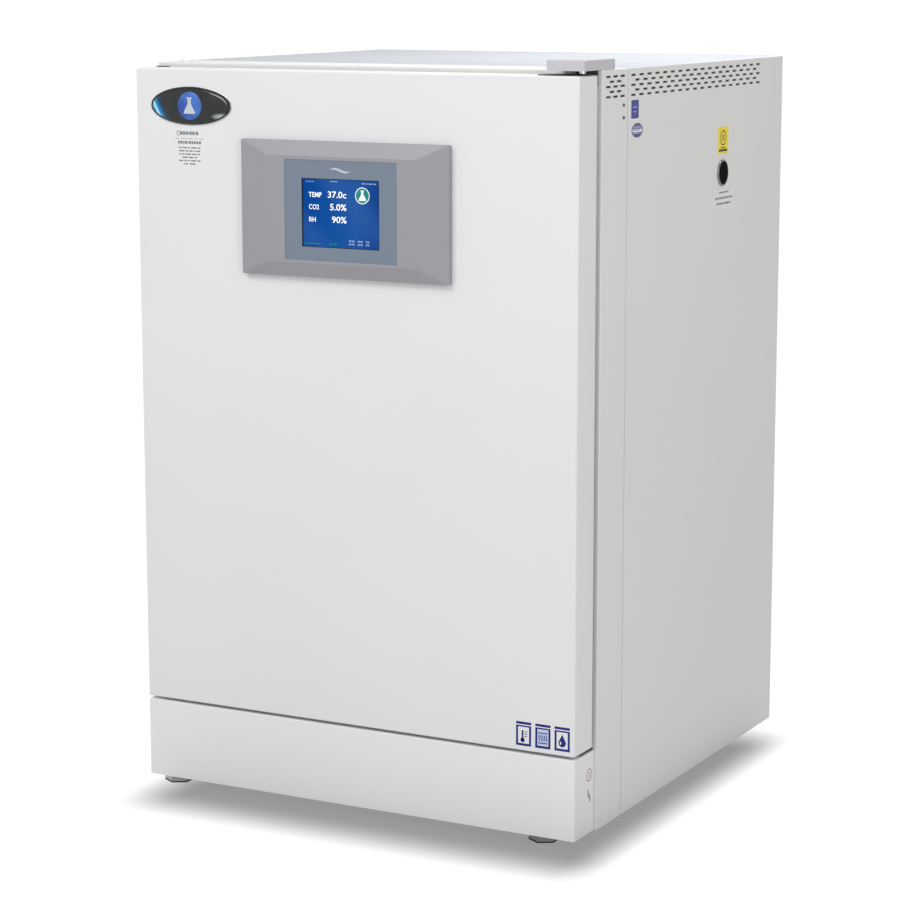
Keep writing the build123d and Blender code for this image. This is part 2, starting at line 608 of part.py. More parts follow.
with BuildPart() as co2_inlet_fitting:
    with BuildSketch(front(DR)):
        with Locations((GAS_X, GAS_Z)):
            RegularPolygon(8.5, 6)
    extrude(amount=-8)
    rod_y(GAS_X, GAS_Z, 6.0, 656, DR)
    rod_y(GAS_X, GAS_Z, GAS_R, DR + 8, DR + 22.5)
    rod_y(GAS_X, GAS_Z, 1.8, 655, DR + 23, Mode.SUBTRACT)
save(co2_inlet_fitting, "co2_inlet_fitting")

# --------------------------------------------------------------------- fasteners
with BuildPart() as panel_screws:
    for x, d in ((-304, 78), (-287, 78)):
        post(x, d, 3.4, ZT, ZT + 2.4)
    for x, d in ((301, 78), (316, 78)):
        post(x, d, 4.2, ZT + 3, ZT + 6)
    for z in (946.3, 930.5):
        rod_x(DF + 62.6, z, 2.1, W2, W2 + 2.0)
        rod_x(DF + 62.6, z, 2.1, -W2 - 2.0, -W2)
    for x in (-316, 0, 316):
        for z in (140, 560, 900):
            rod_y(x, z, 4, DR, DR + 2.2)
save(panel_screws, "panel_screws")

# -------------------------------------------------------------------------- feet
for label, (fx, fd) in FEET.items():
    with BuildPart() as foot:
        with BuildSketch(Plane.XY):
            with Locations((fx, YF + fd)):
                RegularPolygon(FOOT_R, 6, rotation=30)
        extrude(amount=10.5)
        chamfer(foot.faces().sort_by(Axis.Z)[-1].edges(), 1.0)
        post(fx, fd, 9, 10, 12.8)
        post(fx, fd, FOOT_STUD_R, 12, 38)
    save(foot, label)
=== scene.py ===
import bpy, bmesh, math
from mathutils import Vector, Matrix


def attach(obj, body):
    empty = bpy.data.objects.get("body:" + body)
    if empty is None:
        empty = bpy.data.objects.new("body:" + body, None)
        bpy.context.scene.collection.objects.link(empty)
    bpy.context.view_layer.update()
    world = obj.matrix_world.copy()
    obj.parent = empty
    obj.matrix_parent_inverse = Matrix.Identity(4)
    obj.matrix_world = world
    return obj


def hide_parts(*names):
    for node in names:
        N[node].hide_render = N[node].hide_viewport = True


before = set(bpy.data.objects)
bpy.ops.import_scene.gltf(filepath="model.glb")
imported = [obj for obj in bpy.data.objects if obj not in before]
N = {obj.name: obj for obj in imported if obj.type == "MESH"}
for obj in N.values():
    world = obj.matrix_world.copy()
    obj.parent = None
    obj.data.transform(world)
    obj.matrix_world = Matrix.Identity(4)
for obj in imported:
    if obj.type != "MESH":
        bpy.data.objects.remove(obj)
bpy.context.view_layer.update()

YF = -337.5            # front face of the outer door, mm; depths are measured from it

# ------------------------------------------------------------------ frame helpers
def P(x, d, z):
    return Vector((x / 1000.0, (YF + d) / 1000.0, z / 1000.0))

def lin(r, g, b):
    f = lambda c: c / 12.92 if c <= 0.04045 else ((c + 0.055) / 1.055) ** 2.4
    return (f(r / 255.0), f(g / 255.0), f(b / 255.0))

scene = bpy.context.scene
scene.view_settings.view_transform = "Standard"
scene.view_settings.look = "None"

# ------------------------------------------------------------------ camera
AZ, EL, ROLL = math.radians(28.09), math.radians(10.115), math.radians(-0.057)
back = Vector((math.sin(AZ) * math.cos(EL), -math.cos(AZ) * math.cos(EL), math.sin(EL)))
right = Vector((0, 0, 1)).cross(back).normalized()
upv = back.cross(right)
r2 = right * math.cos(ROLL) + upv * math.sin(ROLL)
u2 = -right * math.sin(ROLL) + upv * math.cos(ROLL)
cam_data = bpy.data.cameras.new("camera")
cam_data.lens = 108.69
cam_data.sensor_width = 36.0
cam_data.clip_start = 0.05
cam_data.clip_end = 60.0
cam = bpy.data.objects.new("camera", cam_data)
m = Matrix((r2, u2, back)).transposed().to_4x4()
m.translation = Vector((1.7573, -3.0180 + YF / 1000.0, 1.1197))
cam.matrix_world = m
scene.collection.objects.link(cam)
scene.camera = cam

# ------------------------------------------------------------------ materials
class Mat:
    """A procedural material: object-space noise varies colour and roughness, and more noise makes the relief."""
    def __init__(self, name):
        self.m = bpy.data.materials.new(name)
        self.m.use_nodes = True
        self.nt = self.m.node_tree
        self.nt.nodes.clear()
        self.out = self.nt.nodes.new("ShaderNodeOutputMaterial")
        self.b = self.nt.nodes.new("ShaderNodeBsdfPrincipled")
        self.nt.links.new(self.b.outputs[0], self.out.inputs[0])
        self.tc = self.nt.nodes.new("ShaderNodeTexCoord")
        self.last_normal = None

    def n(self, kind, **props):
        node = self.nt.nodes.new(kind)
        for k, v in props.items():
            setattr(node, k, v)
        return node

    def link(self, a, b):
        self.nt.links.new(a, b)

    def coords(self, scale=(1, 1, 1), rot=(0, 0, 0)):
        mp = self.n("ShaderNodeMapping")
        mp.inputs["Scale"].default_value = scale
        mp.inputs["Rotation"].default_value = rot
        self.link(self.tc.outputs["Object"], mp.inputs["Vector"])
        return mp.outputs[0]

    def noise(self, scale, detail=3.0, rough=0.5, stretch=(1, 1, 1)):
        nz = self.n("ShaderNodeTexNoise")
        nz.inputs["Scale"].default_value = scale
        nz.inputs["Detail"].default_value = detail
        nz.inputs["Roughness"].default_value = rough
        self.link(self.coords(stretch), nz.inputs["Vector"])
        return nz.outputs["Fac"]

    def ramp(self, fac, stops):
        r = self.n("ShaderNodeValToRGB")
        e = r.color_ramp.elements
        while len(e) < len(stops):
            e.new(0.5)
        for i, (p, c) in enumerate(stops):
            e[i].position = p
            e[i].color = (c[0], c[1], c[2], 1)
        self.link(fac, r.inputs[0])
        return r.outputs[0]

    def map(self, fac, a, b, c, d):
        mr = self.n("ShaderNodeMapRange")
        mr.inputs[1].default_value = a
        mr.inputs[2].default_value = b
        mr.inputs[3].default_value = c
        mr.inputs[4].default_value = d
        self.link(fac, mr.inputs[0])
        return mr.outputs[0]

    def mix(self, fac, a, b):
        mx = self.n("ShaderNodeMix", data_type="RGBA")
        if hasattr(fac, "links"):
            self.link(fac, mx.inputs[0])
        else:
            mx.inputs[0].default_value = fac
        for val, i in ((a, 6), (b, 7)):
            if hasattr(val, "links"):
                self.link(val, mx.inputs[i])
            else:
                mx.inputs[i].default_value = (val[0], val[1], val[2], 1)
        return mx.outputs[2]

    def mixf(self, fac, a, b):
        mx = self.n("ShaderNodeMix", data_type="FLOAT")
        self.link(fac, mx.inputs[0])
        self.link(a, mx.inputs[2])
        self.link(b, mx.inputs[3])
        return mx.outputs[0]

    def bump(self, height, distance, strength=1.0):
        bp = self.n("ShaderNodeBump")
        bp.inputs["Strength"].default_value = strength
        bp.inputs["Distance"].default_value = distance
        self.link(height, bp.inputs["Height"])
        if self.last_normal is not None:
            self.link(self.last_normal, bp.inputs["Normal"])
        self.last_normal = bp.outputs[0]
        self.link(bp.outputs[0], self.b.inputs["Normal"])

    def set(self, **kw):
        names = {"rough": "Roughness", "metal": "Metallic", "coat": "Coat Weight", "coat_rough": "Coat Roughness",
                 "spec": "Specular IOR Level", "ior": "IOR", "trans": "Transmission Weight", "aniso": "Anisotropic",
                 "emit": "Emission Strength", "sheen": "Sheen Weight", "alpha": "Alpha", "sss": "Subsurface Weight"}
        for k, v in kw.items():
            if k == "emit_color":
                self.b.inputs["Emission Color"].default_value = (*v, 1)
            elif k == "color":
                self.b.inputs["Base Color"].default_value = (*v, 1)
            else:
                self.b.inputs[names[k]].default_value = v
        return self


def shade(c, k):
    return tuple(min(1.0, x * k) for x in c)


def powder_coat(name, color, rough=0.42, peel=0.00006, vary=0.015, speck=0.0):
    q = Mat(name)
    big = q.noise(3.0, 3, 0.55)
    fine = q.noise(420.0, 2, 0.5)
    tone = q.mix(q.map(big, 0.3, 0.7, 0, 1), shade(color, 1 - vary), shade(color, 1 + vary))
    tone = q.mix(q.map(fine, 0.35, 0.65, 0, 0.35), tone, shade(color, 0.985))
    q.link(tone, q.b.inputs["Base Color"])
    q.link(q.map(q.noise(9.0, 4, 0.6), 0.3, 0.7, rough - 0.04, rough + 0.05), q.b.inputs["Roughness"])
    q.bump(q.noise(650.0, 2, 0.5), peel, 0.35)
    q.bump(q.noise(160.0, 2, 0.4), peel * 1.6, 0.25)
    q.set(spec=0.45)
    return q.m


def brushed(name, color=(0.60, 0.60, 0.61), rough=0.27, coarse=1.0, vary=0.07):
    """Grain runs level on the walls and from side to side on level faces."""
    q = Mat(name)
    wall = q.noise(1.0, 4, 0.65, (9, 9, 1500 * coarse))
    flat = q.noise(1.0, 4, 0.65, (9, 1500 * coarse, 9))
    geo = q.n("ShaderNodeNewGeometry")
    sep = q.n("ShaderNodeSeparateXYZ")
    q.link(geo.outputs["Normal"], sep.inputs[0])
    ab = q.n("ShaderNodeMath", operation="ABSOLUTE")
    q.link(sep.outputs[2], ab.inputs[0])
    grain = q.mixf(q.map(ab.outputs[0], 0.4, 0.8, 0, 1), wall, flat)
    smudge = q.noise(7.0, 4, 0.6)
    tone = q.mix(q.map(grain, 0.3, 0.7, 0, 1), shade(color, 1 - vary), shade(color, 1 + vary))
    tone = q.mix(q.map(smudge, 0.45, 0.75, 0, 0.35), tone, shade(color, 0.9))
    q.link(tone, q.b.inputs["Base Color"])
    q.link(q.map(grain, 0.3, 0.7, rough - 0.07, rough + 0.09), q.b.inputs["Roughness"])
    q.bump(grain, 0.00003, 0.4)
    q.set(metal=1.0)
    return q.m


def zinc(name, color=(0.52, 0.53, 0.55), rough=0.36):
    q = Mat(name)
    vo = q.n("ShaderNodeTexVoronoi")
    vo.inputs["Scale"].default_value = 140.0
    q.link(q.coords(), vo.inputs["Vector"])
    tone = q.mix(q.map(vo.outputs["Distance"], 0.0, 0.8, 0, 1), shade(color, 0.88), shade(color, 1.12))
    tone = q.mix(q.map(q.noise(30, 3, 0.5), 0.4, 0.7, 0, 0.4), tone, shade(color, 0.85))
    q.link(tone, q.b.inputs["Base Color"])
    q.link(q.map(q.noise(60, 3, 0.6), 0.3, 0.7, rough - 0.08, rough + 0.1), q.b.inputs["Roughness"])
    q.bump(q.noise(900, 2, 0.5), 0.00004, 0.4)
    q.set(metal=1.0)
    return q.m


def polished(name, color=(0.80, 0.80, 0.82), rough=0.10):
    q = Mat(name)
    q.link(q.mix(q.map(q.noise(40, 3, 0.5), 0.35, 0.7, 0, 1), color, shade(color, 0.93)), q.b.inputs["Base Color"])
    q.link(q.map(q.noise(220, 3, 0.6), 0.3, 0.7, rough - 0.03, rough + 0.07), q.b.inputs["Roughness"])
    q.bump(q.noise(1400, 2, 0.5), 0.00001, 0.3)
    q.set(metal=1.0)
    return q.m


def moulded(name, color, rough=0.45, grain=900.0, depth=0.00006, vary=0.03, coat=0.0, spec=0.5):
    q = Mat(name)
    tone = q.mix(q.map(q.noise(6, 3, 0.5), 0.3, 0.7, 0, 1), shade(color, 1 - vary), shade(color, 1 + vary))
    pit = q.noise(grain, 3, 0.6)
    tone = q.mix(q.map(pit, 0.35, 0.65, 0, 0.4), tone, shade(color, 0.94))
    q.link(tone, q.b.inputs["Base Color"])
    q.link(q.map(pit, 0.3, 0.7, rough - 0.05, rough + 0.06), q.b.inputs["Roughness"])
    q.bump(pit, depth, 0.5)
    q.set(coat=coat, spec=spec)
    if coat:
        q.set(coat_rough=0.08)
    return q.m


def rubbery(name, color, rough=0.62):
    q = Mat(name)
    tone = q.mix(q.map(q.noise(35, 4, 0.6), 0.35, 0.7, 0, 1), shade(color, 0.85), shade(color, 1.25))
    q.link(tone, q.b.inputs["Base Color"])
    q.link(q.map(q.noise(90, 3, 0.6), 0.3, 0.7, rough - 0.08, rough + 0.12), q.b.inputs["Roughness"])
    q.bump(q.noise(800, 3, 0.6), 0.00008, 0.5)
    q.set(spec=0.4)
    return q.m


def foam(name, color):
    q = Mat(name)
    vo = q.n("ShaderNodeTexVoronoi")
    vo.inputs["Scale"].default_value = 420.0
    q.link(q.coords(), vo.inputs["Vector"])
    q.link(q.mix(q.map(vo.outputs["Distance"], 0, 0.7, 0, 1), shade(color, 0.72), color), q.b.inputs["Base Color"])
    q.bump(vo.outputs["Distance"], 0.0006, 0.7)
    q.set(rough=0.9, spec=0.2)
    return q.m


def printed(name, color, rough=0.38, vary=0.04):
    """Screen-printed ink or label stock: a faint mottled coat."""
    q = Mat(name)
    tone = q.mix(q.map(q.noise(700, 2, 0.6), 0.35, 0.65, 0, 1), shade(color, 1 - vary), shade(color, 1 + vary))
    q.link(tone, q.b.inputs["Base Color"])
    q.link(q.map(q.noise(300, 2, 0.5), 0.3, 0.7, rough - 0.05, rough + 0.06), q.b.inputs["Roughness"])
    q.bump(q.noise(1500, 2, 0.5), 0.00001, 0.3)
    return q.m


def glowing(name, color, strength=1.0):
    """Lit pixels: fine rows modulate the glow."""
    q = Mat(name)
    w = q.n("ShaderNodeTexWave", wave_type="BANDS", bands_direction="Z")
    w.inputs["Scale"].default_value = 900.0
    q.link(q.coords(), w.inputs["Vector"])
    q.link(q.mix(q.map(w.outputs["Fac"], 0, 1, 0, 1), shade(color, 0.94), color), q.b.inputs["Emission Color"])
    q.set(color=shade(color, 0.2), emit=strength, rough=0.4, spec=0.2)
    return q.m


# One white paint covers the whole case. The kick copy is set lighter, the side copy darker, and the top copy much
# darker and bluer: painted light and shade for how the lamps fall on each face.
WHITE = powder_coat("white_paint", (0.795, 0.795, 0.803), 0.40)
KICK_LIT = powder_coat("kick_paint_lit", (0.835, 0.835, 0.852), 0.42)
SIDE_SHADED = powder_coat("side_paint", (0.772, 0.772, 0.757), 0.45)
TOP_SHADED = powder_coat("top_paint_shaded", (0.470, 0.492, 0.522), 0.42)
REAR = powder_coat("rear_paint", (0.68, 0.68, 0.67), 0.48)
STEEL = brushed("stainless", (0.62, 0.62, 0.63), 0.26)
STEEL_FINE = brushed("stainless_fine", (0.64, 0.64, 0.65), 0.22, 1.6)
ZINC = zinc("zinc_steel")
ZINC_DARK = zinc("zinc_dark", (0.16, 0.17, 0.17), 0.42)
BRIGHT = polished("bright_metal")
FOOT = polished("foot_plating", (0.66, 0.62, 0.605), 0.30)
PORT_METAL = polished("port_ring_metal", (0.30, 0.30, 0.31), 0.22)
SOLE = rubbery("foot_sole_rubber", (0.035, 0.035, 0.036))
FOAM = foam("foam", (0.84, 0.77, 0.55))
GASKET = rubbery("gasket", (0.028, 0.030, 0.030))
STOPPER = rubbery("stopper_rubber", (0.012, 0.012, 0.012), 0.7)
SILICONE = rubbery("silicone", (0.36, 0.39, 0.40), 0.5)
BEZEL = moulded("bezel_plastic", (0.325, 0.325, 0.352), 0.40, 1100, 0.00005, 0.02)
CAP = moulded("cap_plastic", (0.55, 0.555, 0.575), 0.42, 900, 0.00005, 0.02)
BLACK = moulded("black_plastic", (0.020, 0.020, 0.021), 0.42, 1000, 0.00006, 0.15)
WHITEPL = moulded("white_plastic", (0.72, 0.72, 0.70), 0.36, 900, 0.00003, 0.02)
OVERLAY = moulded("overlay_film", (0.188, 0.232, 0.298), 0.34, 700, 0.00002, 0.03)
PAPER = None

def pleated(name):
    q = Mat(name)
    w = q.n("ShaderNodeTexWave", wave_type="BANDS", bands_direction="X")
    w.inputs["Scale"].default_value = 60.0
    q.link(q.coords(), w.inputs["Vector"])
    q.link(q.mix(w.outputs["Fac"], (0.62, 0.62, 0.60), (0.84, 0.84, 0.82)), q.b.inputs["Base Color"])
    q.bump(q.noise(900, 4, 0.7), 0.0002, 0.6)
    q.set(rough=0.85, spec=0.2)
    return q.m

PAPER = pleated("filter_media")

def circuit(name):
    q = Mat(name)
    br = q.n("ShaderNodeTexBrick")
    br.inputs["Scale"].default_value = 160.0
    br.inputs["Mortar Size"].default_value = 0.06
    br.inputs["Color1"].default_value = (0.010, 0.13, 0.045, 1)
    br.inputs["Color2"].default_value = (0.016, 0.17, 0.06, 1)
    br.inputs["Mortar"].default_value = (0.30, 0.24, 0.08, 1)
    q.link(q.coords(), br.inputs["Vector"])
    q.link(br.outputs["Color"], q.b.inputs["Base Color"])
    q.bump(q.noise(500, 2, 0.5), 0.00005, 0.4)
    q.set(rough=0.35, coat=0.3, coat_rough=0.1)
    return q.m

PCB = circuit("pcb")

def brassy(name):
    q = Mat(name)
    q.link(q.mix(q.map(q.noise(50, 3, 0.6), 0.3, 0.7, 0, 1), (0.70, 0.50, 0.22), (0.82, 0.62, 0.30)), q.b.inputs["Base Color"])
    q.link(q.map(q.noise(1, 3, 0.6, (900, 900, 40)), 0.3, 0.7, 0.18, 0.36), q.b.inputs["Roughness"])
    q.bump(q.noise(1, 3, 0.6, (1500, 60, 1500)), 0.00003, 0.4)
    q.set(metal=1.0)
    return q.m

BRASS = brassy("brass")

def clear_glass(name):
    q = Mat(name)
    q.link(q.mix(q.map(q.noise(2.0, 2, 0.5), 0.3, 0.7, 0, 1), (0.93, 0.975, 0.96), (0.96, 0.99, 0.98)), q.b.inputs["Base Color"])
    q.bump(q.noise(4.0, 2, 0.5), 0.00008, 0.1)
    q.set(rough=0.01, trans=1.0, ior=1.45, spec=0.5)
    return q.m

GLASS = clear_glass("glass")

def lit_screen(name):
    """Back-lit blue picture: deeper at the left edge, lighter along a soft diagonal."""
    q = Mat(name)
    mp = q.n("ShaderNodeMapping")
    mp.inputs["Location"].default_value = (0.0046, 0, -0.8062)
    q.link(q.tc.outputs["Object"], mp.inputs["Vector"])
    sep = q.n("ShaderNodeSeparateXYZ")
    q.link(mp.outputs[0], sep.inputs[0])
    across = q.map(sep.outputs[0], -0.058, 0.058, 0, 1)
    sweep = q.n("ShaderNodeTexWave", wave_type="BANDS", bands_direction="DIAGONAL")
    sweep.inputs["Scale"].default_value = 5.0
    sweep.inputs["Distortion"].default_value = 2.2
    sweep.inputs["Detail"].default_value = 1.0
    q.link(mp.outputs[0], sweep.inputs["Vector"])
    base = q.ramp(across, [(0.0, lin(2, 70, 152)), (0.35, lin(12, 80, 160)), (0.7, lin(34, 88, 166)), (1.0, lin(14, 62, 138))])
    glow = q.mix(q.map(sweep.outputs["Fac"], 0.35, 1.0, 0, 0.45), base, lin(52, 98, 172))
    q.link(glow, q.b.inputs["Emission Color"])
    q.link(q.mix(0.92, glow, (0, 0.002, 0.008)), q.b.inputs["Base Color"])
    q.link(q.map(q.noise(120, 3, 0.6), 0.3, 0.7, 0.18, 0.26), q.b.inputs["Roughness"])
    q.set(emit=0.86, spec=0.05)
    return q.m

SCREEN = lit_screen("screen_glass")

BLUE = printed("ink_blue", lin(8, 16, 122))
LABEL_BLUE = printed("label_blue", lin(48, 52, 140))
BLUE_SOFT = printed("ink_blue_soft", lin(70, 84, 168))
INK = printed("ink_black", (0.012, 0.012, 0.014))
INK_GREY = printed("ink_grey", lin(124, 127, 130))
INK_RED = printed("ink_red", lin(128, 34, 44))
INK_DULL = printed("ink_dull", lin(118, 92, 100))
LABEL = printed("label_white", (0.80, 0.80, 0.80))
YELLOW = printed("ink_yellow", lin(246, 224, 18))
SKY = printed("ink_sky", lin(190, 205, 232))
SILVER = printed("ink_silver", lin(198, 204, 210), 0.25)
GLOW_WHITE = glowing("glow_white", (0.98, 0.99, 1.0), 1.05)
GLOW_DIM = glowing("glow_dim", lin(150, 175, 215), 0.8)
GLOW_GREEN = glowing("glow_green", lin(20, 150, 110), 0.8)
GLOW_YELLOW = glowing("glow_yellow", lin(170, 190, 60), 0.9)

def badge_face(name):
    """Deep gloss resin: near-black, with a painted cyan reflection (white core) at the left end and a painted pale
    green highlight low on the right.
    """
    q = Mat(name)
    mp = q.n("ShaderNodeMapping")
    mp.inputs["Location"].default_value = (0.239, 0, -0.9378)
    q.link(q.tc.outputs["Object"], mp.inputs["Vector"])
    sep = q.n("ShaderNodeSeparateXYZ")
    q.link(mp.outputs[0], sep.inputs[0])
    lean = q.n("ShaderNodeMath", operation="MULTIPLY_ADD")
    lean.inputs[1].default_value = 0.55
    q.link(sep.outputs[2], lean.inputs[0])
    q.link(sep.outputs[0], lean.inputs[2])
    body = q.mix(q.map(q.noise(25, 3, 0.5), 0.3, 0.7, 0, 1), lin(44, 46, 48), lin(56, 58, 60))
    # left end: a painted reflection, a cyan band with a white core laid over the dark body along a slanted line
    left = q.ramp(q.map(lean.outputs[0], -0.063, -0.040, 0, 1),
                  [(0.0, (1, 1, 1)), (0.42, (1, 1, 1)), (0.72, (0.15, 0.15, 0.15)), (1.0, (0, 0, 0))])
    painted_cyan_reflection = q.ramp(q.map(lean.outputs[0], -0.066, -0.046, 0, 1),
                    [(0.0, lin(20, 120, 190)), (0.35, lin(0, 165, 220)), (0.52, lin(205, 240, 250)), (0.62, lin(0, 160, 215)), (1.0, lin(0, 120, 190))])
    col = q.mix(left, body, painted_cyan_reflection)
    # low on the right: a painted pale green highlight, an oval spot fading outwards
    rg = q.n("ShaderNodeMapping")
    rg.inputs["Location"].default_value = (-0.048, 0, 0.0145)
    rg.inputs["Scale"].default_value = (60, 0, 190)
    rg.vector_type = "POINT"
    q.link(mp.outputs[0], rg.inputs["Vector"])
    rg.inputs["Location"].default_value = (-0.048 * 60, 0, 0.0135 * 190)
    ln = q.n("ShaderNodeVectorMath", operation="LENGTH")
    q.link(rg.outputs[0], ln.inputs[0])
    painted_glint = q.map(ln.outputs["Value"], 0.25, 1.0, 0.8, 0.0)
    col = q.mix(painted_glint, col, lin(196, 204, 192))
    q.link(col, q.b.inputs["Base Color"])
    q.link(q.map(q.noise(90, 2, 0.5), 0.3, 0.7, 0.10, 0.16), q.b.inputs["Roughness"])
    q.set(coat=0.2, coat_rough=0.04, spec=0.2)
    return q.m

BADGE = badge_face("badge")

def badge_disc(name):
    q = Mat(name)
    q.link(q.ramp(q.map(q.noise(45, 3, 0.5), 0.3, 0.7, 0, 1), [(0.0, lin(28, 70, 160)), (1.0, lin(64, 120, 205))]), q.b.inputs["Base Color"])
    q.link(q.map(q.noise(90, 2, 0.5), 0.3, 0.7, 0.12, 0.2), q.b.inputs["Roughness"])
    q.set(coat=0.5, coat_rough=0.05)
    return q.m

DISC = badge_disc("badge_disc")

LOOK = {
    "door_shell": WHITE, "kick_panel": KICK_LIT, "front_frame": SIDE_SHADED, "side_panel_right": SIDE_SHADED, "side_panel_left": SIDE_SHADED,
    "top_panel": TOP_SHADED, "rear_panel": REAR, "base_pan": ZINC, "base_divider": ZINC, "chamber_liner": STEEL,
    "insulation_jacket": FOAM, "door_insulation": FOAM, "shelf_rack_left": STEEL_FINE, "shelf_rack_right": STEEL_FINE,
    "shelf_1": STEEL, "shelf_2": STEEL, "shelf_3": STEEL, "shelf_4": STEEL, "humidity_pan": STEEL_FINE,
    "air_duct_cover": STEEL, "hepa_filter": PAPER, "blower_motor": ZINC, "blower_wheel": ZINC, "sensor_module": WHITEPL,
    "access_port_tube": BLACK, "access_port_ring": PORT_METAL, "hinge_bracket_top": ZINC_DARK, "hinge_cap_top": CAP,
    "hinge_bracket_bottom": ZINC_DARK, "hinge_pins": BRIGHT, "inner_gasket": SILICONE, "inner_hinge_brackets": STEEL_FINE,
    "inner_hinge_pins": BRIGHT, "latch_keeper": STEEL_FINE, "power_supply": ZINC, "control_board": PCB,
    "gas_solenoid_valve": BRASS, "gas_filter": WHITEPL, "power_inlet": BLACK, "co2_inlet_fitting": BRASS,
    "door_liner": STEEL, "door_hinge_bushes": BLACK, "display_bezel": BEZEL, "display_overlay": OVERLAY,
    "touch_screen": SCREEN, "display_module": BLACK, "inner_glass": GLASS, "inner_hinge_leaves": STEEL_FINE,
    "inner_latch_base": STEEL_FINE, "inner_latch_knob": BLACK, "power_rocker": BLACK, "port_stopper": STOPPER,
    "foot_front_left": FOOT, "foot_front_right": FOOT, "foot_rear_left": FOOT, "foot_rear_right": FOOT,
    "door_gasket": GASKET, "panel_screws": BRIGHT, "badge_plate": BADGE,
}
for name, obj in N.items():
    mat = LOOK[name]
    obj.data.materials.clear()
    obj.data.materials.append(mat)
    for poly in obj.data.polygons:
        poly.material_index = 0

# ------------------------------------------------------------------ mesh helpers
def planes(kind, x, d, z):
    o = P(x, d, z)
    if kind == "front":
        return o, Vector((1, 0, 0)), Vector((0, 0, 1)), Vector((0, -1, 0))
    if kind == "right":
        return o, Vector((0, 1, 0)), Vector((0, 0, 1)), Vector((1, 0, 0))
    if kind == "left":
        return o, Vector((0, -1, 0)), Vector((0, 0, 1)), Vector((-1, 0, 0))
    if kind == "back":
        return o, Vector((-1, 0, 0)), Vector((0, 0, 1)), Vector((0, 1, 0))
    if kind == "top":
        return o, Vector((1, 0, 0)), Vector((0, 1, 0)), Vector((0, 0, 1))
    return o, Vector((1, 0, 0)), Vector((0, -1, 0)), Vector((0, 0, -1))


def round_rect(w, h, r, cu=0.0, cv=0.0, seg=5):
    pts = []
    r = min(r, w / 2 - 1e-4, h / 2 - 1e-4)
    for sx, sy, a0 in ((1, 1, 0), (-1, 1, 90), (-1, -1, 180), (1, -1, 270)):
        for i in range(seg + 1):
            a = math.radians(a0 + 90.0 * i / seg)
            pts.append((cu + sx * (w / 2 - r) + r * math.cos(a), cv + sy * (h / 2 - r) + r * math.sin(a)))
    return pts


def oval(rx, ry, cu=0.0, cv=0.0, seg=40):
    return [(cu + rx * math.cos(2 * math.pi * i / seg), cv + ry * math.sin(2 * math.pi * i / seg)) for i in range(seg)]


class Sheet:
    """Thin raised graphics on a plane: prisms and frames in millimetres, gathered into one mesh."""
    def __init__(self, name, body, plane, mats):
        self.name, self.body, self.mats = name, body, mats
        self.o, self.u, self.v, self.w = plane
        self.bm = bmesh.new()

    def at(self, p, h):
        return self.o + self.u * (p[0] / 1000) + self.v * (p[1] / 1000) + self.w * (h / 1000)

    def prism(self, pts, h0, h1, mat=0, shrink=None):
        top = pts if shrink is None else shrink
        a = [self.bm.verts.new(self.at(p, h0)) for p in pts]
        b = [self.bm.verts.new(self.at(p, h1)) for p in top]
        n = len(pts)
        faces = [self.bm.faces.new(a[::-1]), self.bm.faces.new(b)]
        for i in range(n):
            faces.append(self.bm.faces.new((a[i], a[(i + 1) % n], b[(i + 1) % n], b[i])))
        for f in faces:
            f.material_index = mat

    def frame(self, outer, inner, h0, h1, mat=0):
        rings = []
        for pts, h in ((outer, h0), (outer, h1), (inner, h1), (inner, h0)):
            rings.append([self.bm.verts.new(self.at(p, h)) for p in pts])
        n = len(outer)
        for k in range(4):
            a, b = rings[k], rings[(k + 1) % 4]
            for i in range(n):
                f = self.bm.faces.new((a[i], a[(i + 1) % n], b[(i + 1) % n], b[i]))
                f.material_index = mat

    def bar(self, cu, cv, w, h, h0, h1, mat=0, r=0.0, turn=0.0):
        pts = round_rect(w, h, r, 0, 0, 3) if r else [(w / 2, h / 2), (-w / 2, h / 2), (-w / 2, -h / 2), (w / 2, -h / 2)]
        c, s = math.cos(math.radians(turn)), math.sin(math.radians(turn))
        self.prism([(cu + c * a - s * b, cv + s * a + c * b) for a, b in pts], h0, h1, mat)

    def lathe(self, cu, cv, profile, seg=32, mat=0, hexes=(), start=0.0):
        """profile: (radius, height) from the axis outwards; rings listed in hexes are six-sided."""
        rings = []
        for k, (r, h) in enumerate(profile):
            if r == 0:
                rings.append([self.bm.verts.new(self.at((cu, cv), h))])
                continue
            ring = []
            for i in range(seg):
                a = 2 * math.pi * i / seg + start
                rr = r
                if k in hexes:
                    t = (a % (math.pi / 3)) - math.pi / 6
                    rr = r * math.cos(math.pi / 6) / math.cos(t)
                ring.append(self.bm.verts.new(self.at((cu + rr * math.cos(a), cv + rr * math.sin(a)), h)))
            rings.append(ring)
        for a, b in zip(rings, rings[1:]):
            for i in range(seg):
                j = (i + 1) % seg
                if len(a) == 1:
                    f = self.bm.faces.new((a[0], b[i], b[j]))
                elif len(b) == 1:
                    f = self.bm.faces.new((a[i], b[0], a[j]))
                else:
                    f = self.bm.faces.new((a[i], b[i], b[j], a[j]))
                f.material_index = mat
                f.smooth = True

    def done(self, slot=None, smooth=False):
        bmesh.ops.recalc_face_normals(self.bm, faces=self.bm.faces)
        me = bpy.data.meshes.new(self.name)
        self.bm.to_mesh(me)
        self.bm.free()
        for mt in self.mats:
            me.materials.append(mt)
        ob = bpy.data.objects.new(self.name, me)
        scene.collection.objects.link(ob)
        if smooth:
            for p in me.polygons:
                p.use_smooth = True
        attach(ob, self.body)
        return ob


